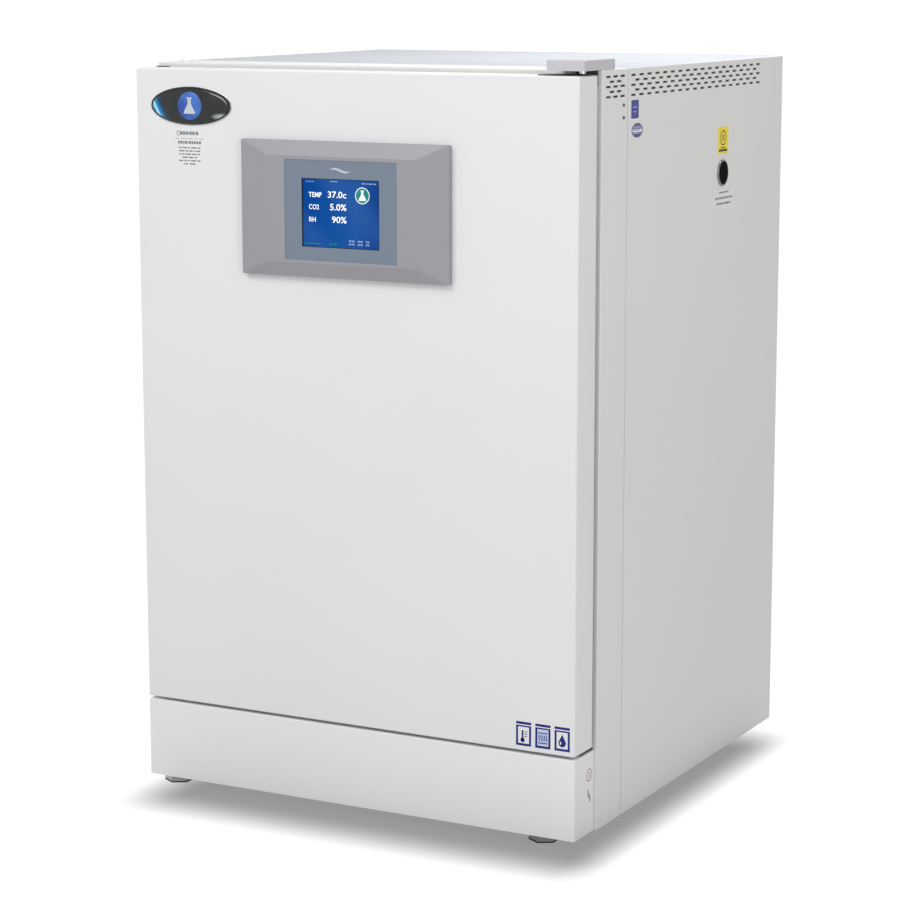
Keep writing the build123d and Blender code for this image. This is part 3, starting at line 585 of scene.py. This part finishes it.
def words(name, body, text, height, plane, mat, depth=0.05, squeeze=1.0, align="LEFT"):
    """Generic digits and unit names, as thin raised meshes. height is the cap height in millimetres."""
    cu = bpy.data.curves.new(name + "_curve", "FONT")
    cu.body = text
    cu.size = height / 1000.0 / 0.70
    cu.extrude = depth / 2000.0
    cu.align_x = align
    cu.resolution_u = 3
    cu.offset = height * 0.000017
    tmp = bpy.data.objects.new(name + "_curve", cu)
    scene.collection.objects.link(tmp)
    bpy.context.view_layer.update()
    me = bpy.data.meshes.new_from_object(tmp.evaluated_get(bpy.context.evaluated_depsgraph_get()))
    bpy.data.objects.remove(tmp)
    o, u, v, w = plane
    mt = Matrix((u * squeeze, v, w)).transposed().to_4x4()
    mt.translation = o + w * (depth / 2000.0)
    me.transform(mt)
    me.name = name
    me.materials.clear()
    me.materials.append(mat)
    ob = bpy.data.objects.new(name, me)
    scene.collection.objects.link(ob)
    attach(ob, body)
    return ob


# ------------------------------------------------------------------ badge on the door
bd = Sheet("badge_rim", "outer_door", planes("front", -239, 0, 937.8), [BRIGHT, BLACK])
seg = 72
prof = [(63.0, 25.5, 0.0), (63.0, 25.5, 1.1), (62.7, 25.2, 1.5), (62.4, 24.9, 1.6), (59.8, 22.3, 1.5), (59.8, 22.3, 0.0)]
rings = [[bd.bm.verts.new(bd.at((a * math.cos(2 * math.pi * i / seg), b * math.sin(2 * math.pi * i / seg)), h)) for i in range(seg)] for a, b, h in prof]
for k in range(len(prof)):
    a, b = rings[k], rings[(k + 1) % len(prof)]
    for i in range(seg):
        f = bd.bm.faces.new((a[i], a[(i + 1) % seg], b[(i + 1) % seg], b[i]))
        f.smooth = True
        f.material_index = 1 if k == 3 else 0
badge_rim = bd.done("badge")

bf = Sheet("badge_dome", "outer_door", planes("front", -239, 0, 937.8), [BADGE])
rings = []
for k, (s, h) in enumerate([(1.0, 0.0), (1.0, 1.3), (0.985, 1.75), (0.95, 2.1), (0.88, 2.45), (0.75, 2.7), (0.55, 2.88), (0.3, 2.97), (0.0, 3.0)]):
    if s == 0:
        rings.append([bf.bm.verts.new(bf.at((0, 0), h))])
    else:
        rings.append([bf.bm.verts.new(bf.at((59.8 * s * math.cos(2 * math.pi * i / seg), 22.3 * s * math.sin(2 * math.pi * i / seg)), h)) for i in range(seg)])
for a, b in zip(rings, rings[1:]):
    for i in range(seg):
        j = (i + 1) % seg
        (bf.bm.faces.new((a[i], a[j], b[j], b[i])) if len(b) > 1 else bf.bm.faces.new((a[i], a[j], b[0]))).smooth = True
bf.bm.faces.new(rings[0][::-1])
badge_dome = bf.done("badge")
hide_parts("badge_plate")

# a plain medallion with a flask outline stands just proud of the dome
em = Sheet("badge_medallion", "outer_door", planes("front", -240, 0, 937.8), [DISC, SILVER])
em.lathe(0, 0, [(0, 3.55), (8, 3.53), (14, 3.46), (17.4, 3.34), (18.4, 3.1), (18.4, 2.2), (0, 2.2)], 56, 0)
flask = [(-2.6, 9.5), (-2.6, 2.5), (-9.0, -8.5), (-8.0, -10.4), (8.0, -10.4), (9.0, -8.5), (2.6, 2.5), (2.6, 9.5)]
em.prism(flask[::-1], 3.40, 3.64, 1)
em.bar(0, 10.2, 8.0, 1.8, 3.40, 3.64, 1, 0.5)
em.done("badge")

# a painted highlight: a fine bright line inside the rim, upper right, where the dome's edge reflects
hl = Sheet("badge_painted_highlight_line", "outer_door", planes("front", -239, 0, 937.8), [SILVER])
arc_o, arc_i = [], []
for k in range(25):
    t = math.radians(8 + 52 * k / 24.0)
    taper = 0.5 * math.sin(math.pi * k / 24.0) + 0.06
    arc_o.append(((57.0 + taper) * math.cos(t), (20.0 + taper) * math.sin(t)))
    arc_i.append(((57.0 - taper) * math.cos(t), (20.0 - taper) * math.sin(t)))
hl.prism(arc_o + arc_i[::-1], 1.6, 2.5, 0)
hl.done("badge")

# ------------------------------------------------------------------ notice below the badge: a ring mark and plain rules
nt = Sheet("door_notice_print", "outer_door", planes("front", -243, 0, 884), [INK_GREY])
nt.frame(oval(3.4, 3.4, -17.0, 17.8, 24), oval(2.6, 2.6, -17.0, 17.8, 24), 0, 0.06)
nt.bar(-17.0, 17.8, 0.8, 3.2, 0, 0.06)
def rule_row(sheet, v, total, height, bits, mat=0, h1=0.06, cu=0.0):
    """A row of short blocks, which reads as a line of small print."""
    s = sum(bits) + 0.30 * sum(bits) / len(bits) * (len(bits) - 1)
    k = total / s
    gap = 0.30 * sum(bits) / len(bits) * k
    u = cu - total / 2
    for b in bits:
        sheet.bar(u + b * k / 2, v, b * k, height, 0, h1, mat)
        u += b * k + gap
rule_row(nt, 17.8, 28.0, 4.4, [3, 3, 3, 1.2, 3, 3, 1, 3])
rule_row(nt, 10.6, 44.0, 0.6, [9, 14, 12, 8, 10])
rule_row(nt, 5.6, 36.0, 3.6, [3, 3, 2, 3.2, 0.4, 3, 3, 3, 2.6, 3])
rule_row(nt, -1.4, 34.0, 1.7, [3, 5, 2, 6, 3])
rule_row(nt, -5.6, 33.0, 1.7, [6, 3, 4, 2, 4])
rule_row(nt, -9.8, 33.0, 1.7, [2, 3, 6, 5, 3])
rule_row(nt, -14.0, 23.0, 1.7, [6, 5, 3])
rule_row(nt, -18.4, 34.0, 1.7, [5, 3, 2, 6, 4])
rule_row(nt, -22.6, 18.0, 1.7, [4, 6])
nt.done("badge")

# ------------------------------------------------------------------ three small framed pictograms at the door's lower right
def ring_frame(sheet, w, h, cv, side, top, bottom, h0, h1, mat):
    """A rectangular frame whose lines differ in width."""
    sheet.bar(-(w - side) / 2, cv, side, h, h0, h1, mat)
    sheet.bar((w - side) / 2, cv, side, h, h0, h1, mat)
    sheet.bar(0, cv + (h - top) / 2, w - 2 * side, top, h0, h1, mat)
    sheet.bar(0, cv - (h - bottom) / 2, w - 2 * side, bottom, h0, h1, mat)

for i, cx in enumerate((253.2, 280.8, 308.2)):
    lb = Sheet(f"door_pictogram_{i + 1}", "outer_door", planes("front", cx, 0, 148.2), [LABEL, BLUE, INK_GREY, SKY])
    lb.prism(round_rect(22.6, 32.6, 0.8), 0, 0.08, 0)
    lb.bar(0, 14.2, 21.6, 3.4, 0.08, 0.14, 1)
    ring_frame(lb, 21.6, 27.0, -2.4, 2.9, 2.0, 3.2, 0.08, 0.14, 1)
    if i == 0:      # thermometer: bulb, stem and three ticks
        lb.prism(oval(3.1, 3.1, -1.4, -8.4, 28), 0.08, 0.14, 1)
        lb.bar(-1.4, -1.8, 2.5, 13.4, 0.08, 0.14, 1, 1.1)
        for v in (-3.6, -0.4, 2.8):
            lb.bar(3.4, v, 3.4, 1.2, 0.08, 0.14, 1)
    elif i == 1:    # filter cell: pleats between two rails, on a pale ground
        lb.prism(round_rect(15.4, 21.0, 0.4, 0, -1.8, 2), 0.08, 0.11, 3)
        for a in (-5.4, -2.7, 0, 2.7, 5.4):
            lb.bar(a, -2.4, 1.2, 8.0, 0.11, 0.14, 1, 0, 8)
        lb.bar(0, 4.2, 13.6, 1.4, 0.11, 0.14, 1)
        lb.bar(0, -9.0, 13.6, 1.4, 0.11, 0.14, 1)
    else:           # droplet with a hollow highlight
        drop = [(0.0, 6.2)]
        drop += [(5.3 * math.cos(math.radians(a)), -5.2 + 5.3 * math.sin(math.radians(a))) for a in range(25, -206, -11)]
        lb.prism(drop, 0.08, 0.14, 1)
        lb.prism(oval(1.1, 2.1, -2.3, -5.4, 18), 0.14, 0.16, 0)
    lb.done("badge")

# ------------------------------------------------------------------ display: a painted shadow line round the screen, wave mark, readings
DOV = -14.9
# a thin black frame at the screen's edge: painted shadow where the overlay steps down to the screen
ln = Sheet("screen_painted_shadow_line", "outer_door", planes("front", -4.6, -12.7, 806.2), [INK])
ln.frame(round_rect(114.96, 88.76, 0.4, 0, 0, 2), round_rect(113.4, 87.2, 0.4, 0, 0, 2), 0.02, 2.0)
ln.done("screen_glass")

wv = Sheet("overlay_wave_mark", "outer_door", planes("front", -4.6, DOV, 861.6), [SILVER])
top_, bot_ = [], []
for k in range(29):
    t = -1 + 2 * k / 28.0
    u = 15.6 * t
    v = 2.3 * math.sin(-t * 2.75) + (0.5 * t)
    th = 1.35 * (1 - abs(t) ** 2.2) + 0.12
    top_.append((u, -v * -1 + th))
    bot_.append((u, -v * -1 - th))
wv.prism(top_[::-1] + bot_, 0, 0.12, 0)
wv.done("overlay_film")

SCN = -12.7
def scr(x, z):
    return planes("front", x, SCN, z)

words("reading_temp_name", "outer_door", "TEMP", 6.3, scr(-52.7, 826.4), GLOW_WHITE, 0.06, 0.90)
words("reading_co2_name", "outer_door", "CO2", 6.2, scr(-52.7, 810.7), GLOW_WHITE, 0.06, 0.86)
words("reading_rh_name", "outer_door", "RH", 6.2, scr(-52.7, 794.5), GLOW_WHITE, 0.06, 0.92)
words("reading_temp", "outer_door", "37.0c", 8.1, scr(3.6, 826.4), GLOW_WHITE, 0.06, 1.14, "RIGHT")
words("reading_co2", "outer_door", "5.0%", 8.1, scr(3.6, 810.4), GLOW_WHITE, 0.06, 1.14, "RIGHT")
words("reading_rh", "outer_door", "90%", 8.1, scr(3.6, 794.3), GLOW_WHITE, 0.06, 1.14, "RIGHT")

st = Sheet("screen_status_marks", "outer_door", planes("front", -4.6, SCN, 806.2), [GLOW_DIM, GLOW_GREEN, GLOW_YELLOW])
rule_row(st, 41.0, 10.0, 1.2, [3, 3, 2], 2, 0.05, -10.6)
rule_row(st, 39.6, 21.0, 1.5, [3, 2, 4, 3], 0, 0.05, 41.5)
rule_row(st, 40.0, 12.0, 0.9, [3, 4, 3], 0, 0.05, -46.0)
rule_row(st, -39.6, 23.0, 1.1, [5, 3, 6, 4], 1, 0.05, -42.5)
rule_row(st, -39.6, 11.0, 1.3, [5, 4], 1, 0.05, -12.0)
for cv in (-34.6, -38.6):
    rule_row(st, cv, 8.0, 2.0, [3, 3], 0, 0.05, 15.5)
    rule_row(st, cv, 7.0, 2.0, [2, 2], 0, 0.05, 28.0)
    rule_row(st, cv, 5.0, 2.0, [2, 2], 0, 0.05, 39.0)
st.done("screen_glass")

def icon_paint(name):
    q = Mat(name)
    c = q.mix(q.map(q.noise(40, 2, 0.4), 0.35, 0.65, 0, 1), lin(28, 132, 128), lin(40, 150, 140))
    q.link(c, q.b.inputs["Emission Color"])
    q.set(color=(0.01, 0.03, 0.03), emit=0.85, rough=0.3, spec=0.05)
    return q.m

ICON = icon_paint("screen_icon")
ic = Sheet("screen_icon", "outer_door", planes("front", 27.0, SCN, 830.4), [ICON, GLOW_WHITE])
ic.prism(oval(10.6, 10.6, 0, 0, 36), 0, 0.05, 0)
ic.frame(oval(10.6, 10.6, 0, 0, 36), oval(9.7, 9.7, 0, 0, 36), 0.05, 0.09, 1)
ic.prism([(u * 0.62, v * 0.62) for u, v in flask][::-1], 0.05, 0.09, 1)
ic.bar(0, 6.3, 5.0, 1.1, 0.05, 0.09, 1, 0.3)
ic.done("screen_glass")

# ------------------------------------------------------------------ side labels
XR = 330.0
sl = Sheet("side_label_rating", "cabinet", planes("right", XR, 58 + 98, 939.6), [LABEL_BLUE, BLUE_SOFT, SKY])
sl.prism(round_rect(22.6, 23.4, 1.4), 0, 0.10, 0)
for k, (w_, v_) in enumerate(((15, 8.4), (17, 5.5), (13, 2.6), (17, -0.3), (9, -3.2), (16, -6.1), (11, -8.8))):
    sl.bar(0, v_, w_, 0.95, 0.10, 0.14, 1 if k not in (2, 4) else 2)
sl.done("side_paint")

so = Sheet("side_label_oval", "cabinet", planes("right", XR, 58 + 105.5, 912.6), [BLUE, LABEL, YELLOW, BLUE_SOFT])
so.prism(oval(17.2, 9.2, 0, 0, 48), 0, 0.10, 0)
so.prism(oval(15.2, 7.6, 0, 0, 48), 0.10, 0.13, 1)
def band(sheet, v0, v1, mat, rx=15.0, ry=7.4, h0=0.13, h1=0.16, slant=0.0):
    pts = []
    steps = 9
    def xat(v):
        return rx * math.sqrt(max(0.0, 1 - (v / ry) ** 2))
    for k in range(steps):
        v = v0 + (v1 - v0) * k / (steps - 1)
        pts.append((xat(v), v))
    for k in range(steps):
        v = v1 + (v0 - v1) * k / (steps - 1)
        pts.append((-xat(v), v))
    sheet.prism(pts, h0, h1, mat)
band(so, 5.2, 7.2, 0)
band(so, 3.4, 4.7, 3)
band(so, 1.6, 2.9, 0)
band(so, -3.8, -2.4, 3)
band(so, -7.2, -4.4, 0)
so.bar(-2.0, 0.2, 20.0, 0.9, 0.13, 0.16, 3)
so.done("side_paint")

sy = Sheet("side_label_yellow", "cabinet", planes("right", XR, 58 + 392.2, 883.8), [YELLOW, INK])
sy.prism(round_rect(36.8, 36.8, 1.0), 0, 0.10, 0)
sy.frame(oval(10.4, 10.4, 0, 3.4, 40), oval(8.6, 8.6, 0, 3.4, 40), 0.10, 0.14, 1)
for k in (-3.4, 0, 3.4):
    sy.bar(k, 3.4, 1.5, 9.0, 0.10, 0.14, 1, 0.6)
sy.bar(0, -10.0, 16.0, 1.5, 0.10, 0.14, 1)
sy.bar(0, -13.6, 30.0, 3.2, 0.10, 0.14, 1)
sy.done("side_paint")

sw = Sheet("side_label_white", "cabinet", planes("right", XR, 58 + 396.8, 804.0), [LABEL, INK_DULL])
sw.prism(round_rect(73.0, 27.0, 1.2), 0, 0.10, 0)
rule_row(sw, 8.6, 34.0, 2.0, [2, 5, 4, 6, 3], 1, 0.14)
sw2 = [3, 3, 2, 4, 4, 3, 3, 2, 4]
def rule_row_h(sheet, v, total, height, bits, mat, h0, h1, cu=0.0):
    s = sum(bits) + 0.35 * sum(bits) / len(bits) * (len(bits) - 1)
    k = total / s
    gap = 0.35 * sum(bits) / len(bits) * k
    u = cu - total / 2
    for b in bits:
        sheet.bar(u + b * k / 2, v, b * k, height, h0, h1, mat)
        u += b * k + gap
rule_row_h(sw, 1.0, 60.0, 2.6, sw2, 1, 0.10, 0.14)
rule_row_h(sw, -6.6, 50.0, 2.8, [3, 3, 4, 3, 3, 5, 3], 1, 0.10, 0.14)
sw.done("side_paint")

# kick panel marks: a ring and a short slanted dash
km = Sheet("kick_marks", "cabinet", planes("right", 326.0, 43.5, 92), [INK_RED])
km.frame(oval(8.4, 8.4, 0, 0, 36), oval(7.2, 7.2, 0, 0, 36), 0, 0.06)
km.bar(0, 0, 2.0, 8.4, 0, 0.06)
km.bar(-2.2, -24.6, 2.6, 9.6, 0, 0.06)
km.bar(2.2, -31.0, 2.6, 9.6, 0, 0.06)
km.done("white_paint")

# ------------------------------------------------------------------ screws, in place of the plain CAD heads
sc = Sheet("screw_heads", "cabinet", planes("top", 0, 0, 0), [BRIGHT, BLACK])
def screw(plane, r, h):
    sc.o, sc.u, sc.v, sc.w = plane
    prof = [(0, h * 0.35), (r * 0.46, h * 0.35), (r * 0.50, h * 0.90), (r * 0.62, h * 0.99), (r * 0.80, h * 0.86),
            (r * 0.94, h * 0.58), (r, h * 0.25), (r, 0.0), (0, 0.0)]
    sc.lathe(0, 0, prof, 24, 0, hexes=(1, 2))
for x in (-304, -287):
    screw(planes("top", x, 78, 992), 3.4, 2.4)
for x in (301, 316):
    screw(planes("top", x, 78, 995), 4.2, 3.0)
for x in (-316, 0, 316):
    for z in (140, 560, 900):
        screw(planes("back", x, 668, z), 4.0, 2.2)
screws = sc.done("bright_metal")
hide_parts("panel_screws")
sc = Sheet("strip_screw_heads", "cabinet", planes("top", 0, 0, 0), [ZINC_DARK])
for z in (946.3, 930.5):
    screw(planes("right", 330, 58 + 62.6, z), 2.1, 1.9)
    screw(planes("left", -330, 58 + 62.6, z), 2.1, 1.9)
sc.done("bright_metal")

# ------------------------------------------------------------------ rubber soles round the lower edge of the feet
for key, fx, fd in (("foot_fl", -300, 34), ("foot_fr", 267, 34), ("foot_rl", -290, 620), ("foot_rr", 290, 620)):
    so = Sheet("sole_" + key, key, planes("top", fx, fd, 0), [SOLE])
    hexa = [(20.8 * math.cos(math.radians(30 + 60 * k)), 20.8 * math.sin(math.radians(30 + 60 * k))) for k in range(6)]
    hexi = [(u * 0.955, v * 0.955) for u, v in hexa]
    so.frame(hexa, hexi, 0.0, 1.8)
    so.done("gasket")

# ------------------------------------------------------------------ door gasket: bellows section swept round the door
def sweep_rect(name, body, w, h, r, cz, profile, mats, d0, seg=8, flip=1):
    """profile: (offset outwards from the mid line, depth) in millimetres."""
    bm = bmesh.new()
    path = []
    for sx, sz, a0 in ((1, 1, 0), (-1, 1, 90), (-1, -1, 180), (1, -1, 270)):
        for i in range(seg + 1):
            a = math.radians(a0 + 90.0 * i / seg)
            path.append(((sx * (w / 2 - r), cz + sz * (h / 2 - r)), (math.cos(a), math.sin(a))))
    rings = []
    for (cx, cz_), (nx, nz) in path:
        rings.append([bm.verts.new(P(cx + (r + o) * nx, d0 + dd, cz_ + (r + o) * nz)) for o, dd in profile])
    n, k = len(rings), len(profile)
    for i in range(n):
        a, b = rings[i], rings[(i + 1) % n]
        for j in range(k):
            bm.faces.new((a[j], a[(j + 1) % k], b[(j + 1) % k], b[j]))
    bmesh.ops.recalc_face_normals(bm, faces=bm.faces)
    me = bpy.data.meshes.new(name)
    bm.to_mesh(me)
    bm.free()
    for mt in mats:
        me.materials.append(mt)
    ob = bpy.data.objects.new(name, me)
    scene.collection.objects.link(ob)
    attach(ob, body)
    return ob

bellows = [(-5.4, 0.0), (16.6, 0.0), (17.0, 0.4), (17.0, 1.7), (16.6, 2.1), (5.6, 2.1), (5.0, 1.9), (4.2, 1.7), (3.3, 2.0), (4.3, 2.8), (4.7, 3.3), (4.0, 3.9), (3.4, 4.4),
           (4.4, 4.9), (4.9, 5.4), (4.9, 6.3), (4.4, 6.7), (-4.4, 6.7), (-4.9, 6.3), (-4.9, 5.4), (-4.4, 4.9), (-3.4, 4.4),
           (-4.0, 3.9), (-4.7, 3.3), (-4.3, 2.8), (-3.3, 2.0), (-4.2, 1.5), (-5.4, 1.0)]
gk = sweep_rect("door_gasket_profile", "outer_door", 615, 764, 7, 524.5, bellows, [GASKET], 51.0)
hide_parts("door_gasket")

# ------------------------------------------------------------------ dark sheets behind the side vents: painted shade, so the slots read black like the shaded inside
for sx, nm in ((1, "right"), (-1, "left")):
    df = Sheet(f"vent_shade_sheet_{nm}", "cabinet", planes("right" if sx > 0 else "left", sx * 325.0, 0, 0), [BLACK])
    s = 1 if sx > 0 else -1
    df.prism(round_rect(70, 34, 2, s * (58 + 39), 970.5, 3), 1.2, 3.3, 0)
    df.prism(round_rect(444, 34, 2, s * (58 + 304.9), 970.5, 3), 1.2, 3.3, 0)
    df.done("black_plastic")

# the same dark sheets behind the rear vents: painted shade
rf = Sheet("vent_shade_sheet_rear", "cabinet", planes("back", 0, 664.2, 0), [BLACK])
rf.prism(round_rect(338, 62, 2, 0, 948.5, 3), 0, 2.0, 0)
rf.prism(round_rect(150, 60, 2, -20, 70.5, 3), 0, 2.0, 0)
rf.done("black_plastic")

# ------------------------------------------------------------------ rear panel details
rp = Sheet("rear_rating_plate", "cabinet", planes("back", 60, 668, 190), [SILVER, INK_GREY, INK])
rp.prism(round_rect(96, 62, 2.5), 0, 0.35, 0)
rp.frame(round_rect(92, 58, 1.5), round_rect(90.6, 56.6, 1.0), 0.35, 0.42, 1)
for k, (w_, v_) in enumerate(((60, 22), (76, 15), (50, 8), (76, 1), (66, -6))):
    rp.bar(-(76 - w_) / 2, v_, w_, 2.0, 0.35, 0.42, 1)
u_ = -38.0
for w_ in (1.2, 0.6, 2.0, 0.8, 0.8, 1.6, 0.6, 1.2, 2.2, 0.8, 1.4, 0.6, 0.6, 1.8, 1.0, 0.8, 2.0, 0.6, 1.2, 0.8):
    rp.bar(u_ + w_ / 2, -18.5, w_, 11.0, 0.35, 0.42, 2)
    u_ += w_ + 1.1
for su in (-1, 1):
    for sv in (-1, 1):
        rp.lathe(su * 44.2, sv * 27.2, [(0, 0.9), (1.0, 0.85), (1.5, 0.6), (1.6, 0.3), (0, 0.3)], 18, 0)
rp.done("bright_metal")

fd = Sheet("inlet_details", "cabinet", planes("back", -205, 670.5, 72), [BLACK, SILVER])
fd.frame(round_rect(28.4, 21.4, 2.2), round_rect(25.0, 18.0, 1.2), 0, 1.4, 0)
for su in (-1, 1):
    fd.lathe(su * 21.0, 0, [(0, 0.5), (0.9, 0.5), (1.0, 1.3), (1.8, 1.2), (2.3, 0.7), (2.4, 0.0), (0, 0.0)], 20, 1)
fd.done("black_plastic")

# ------------------------------------------------------------------ small rubber buffer on the door's top edge
bu = Sheet("door_top_buffer", "outer_door", planes("top", -314, 47, 986), [GASKET])
bu.prism(round_rect(20, 5.2, 1.6), -0.2, 0.8, 0)
bu.prism(round_rect(20, 5.2, 1.6), 0.8, 1.3, 0, round_rect(18.6, 3.8, 1.0))
bu.done("gasket")

# ------------------------------------------------------------------ floor, light
def floor_paint():
    """White studio floor with one soft pool of shade lying towards the front right, laid out in metres on the floor."""
    q = Mat("floor_paint")
    q.link(q.mix(q.map(q.noise(1.3, 3, 0.5), 0.3, 0.7, 0, 1), (0.030, 0.030, 0.030), (0.036, 0.036, 0.036)), q.b.inputs["Base Color"])
    q.link(q.map(q.noise(14, 3, 0.5), 0.3, 0.7, 0.85, 0.95), q.b.inputs["Roughness"])
    axes = q.n("ShaderNodeSeparateXYZ")
    q.link(q.tc.outputs["Object"], axes.inputs[0])
    shade = None
    for axis, a, b in ((0, -0.346, -0.246), (0, 0.402, 0.328), (1, -0.474, -0.350), (1, 0.330, 0.190)):
        edge = q.n("ShaderNodeMapRange", interpolation_type="SMOOTHSTEP")
        flip = a > b
        edge.inputs[1].default_value, edge.inputs[2].default_value = min(a, b), max(a, b)
        edge.inputs[3].default_value, edge.inputs[4].default_value = (1.0, 0.0) if flip else (0.0, 1.0)
        q.link(axes.outputs[axis], edge.inputs[0])
        if shade is None:
            shade = edge.outputs[0]
        else:
            both = q.n("ShaderNodeMath", operation="MULTIPLY")
            q.link(shade, both.inputs[0])
            q.link(edge.outputs[0], both.inputs[1])
            shade = both.outputs[0]
    pool = q.ramp(shade, [(0.0, (1.0, 1.0, 1.0)), (0.25, (0.76, 0.76, 0.76)), (0.5, (0.572, 0.572, 0.572)),
                          (0.75, (0.420, 0.420, 0.420)), (1.0, (0.290, 0.290, 0.290))])
    path = q.n("ShaderNodeLightPath")
    q.link(q.mix(path.outputs["Is Camera Ray"], q.mix(0.38, pool, (0.0, 0.0, 0.0)), pool), q.b.inputs["Emission Color"])
    q.set(spec=0.0, emit=1.03)
    return q.m

bm = bmesh.new()
ringn = 96
centre = bm.verts.new((0, 0, 0))
prev = None
rad = [0.6, 1.5, 4.0, 9.0, 18.0]
loops = []
for r in rad:
    loops.append([bm.verts.new((r * math.cos(2 * math.pi * i / ringn), r * math.sin(2 * math.pi * i / ringn), 0)) for i in range(ringn)])
for i in range(ringn):
    bm.faces.new((centre, loops[0][i], loops[0][(i + 1) % ringn]))
for a, b in zip(loops, loops[1:]):
    for i in range(ringn):
        j = (i + 1) % ringn
        bm.faces.new((a[i], b[i], b[j], a[j]))
me = bpy.data.meshes.new("floor")
bm.to_mesh(me)
bm.free()
me.materials.append(floor_paint())
floor = bpy.data.objects.new("floor", me)
scene.collection.objects.link(floor)

world = bpy.data.worlds.new("studio")
scene.world = world
world.use_nodes = True
wt = world.node_tree
wt.nodes.clear()
wo = wt.nodes.new("ShaderNodeOutputWorld")
mixs = wt.nodes.new("ShaderNodeMixShader")
lp = wt.nodes.new("ShaderNodeLightPath")
bg_cam = wt.nodes.new("ShaderNodeBackground")
bg_cam.inputs[0].default_value = (1, 1, 1, 1)
bg_cam.inputs[1].default_value = 1.02
bg = wt.nodes.new("ShaderNodeBackground")
tc = wt.nodes.new("ShaderNodeTexCoord")
sp = wt.nodes.new("ShaderNodeSeparateXYZ")
wt.links.new(tc.outputs["Generated"], sp.inputs[0])
mrx = wt.nodes.new("ShaderNodeMapRange")
mrx.inputs[1].default_value = -1.0
mrx.inputs[2].default_value = 1.0
mrx.inputs[3].default_value = 1.00
mrx.inputs[4].default_value = 0.70
wt.links.new(sp.outputs[0], mrx.inputs[0])
comb = wt.nodes.new("ShaderNodeCombineColor")
for i in range(3):
    wt.links.new(mrx.outputs[0], comb.inputs[i])
wt.links.new(comb.outputs[0], bg.inputs[0])
bg.inputs[1].default_value = 0.74
wt.links.new(lp.outputs["Is Camera Ray"], mixs.inputs[0])
wt.links.new(bg.outputs[0], mixs.inputs[1])
wt.links.new(bg_cam.outputs[0], mixs.inputs[2])
wt.links.new(mixs.outputs[0], wo.inputs[0])

def area(name, loc, target, size, power, color=(1, 1, 1)):
    ld = bpy.data.lights.new(name, "AREA")
    ld.shape = "RECTANGLE"
    ld.size, ld.size_y = size
    ld.energy = power
    ld.color = color
    ob = bpy.data.objects.new(name, ld)
    ob.location = loc
    ob.rotation_euler = (Vector(target) - Vector(loc)).to_track_quat("-Z", "Y").to_euler()
    scene.collection.objects.link(ob)
    return ob

area("key_light", (-0.7, -2.3 + YF / 1000.0 * 0.4, 2.9), (0, -0.2, 0.75), (1.8, 1.4), 36.0)
area("fill_light", (1.9, -1.65, 1.3), (0.2, -0.1, 0.6), (0.9, 1.3), 12.0)
area("top_light", (0.24, 0.22, 1.62), (0.20, 0.16, 1.0), (0.36, 0.36), 5.4, (0.97, 0.98, 1.0))
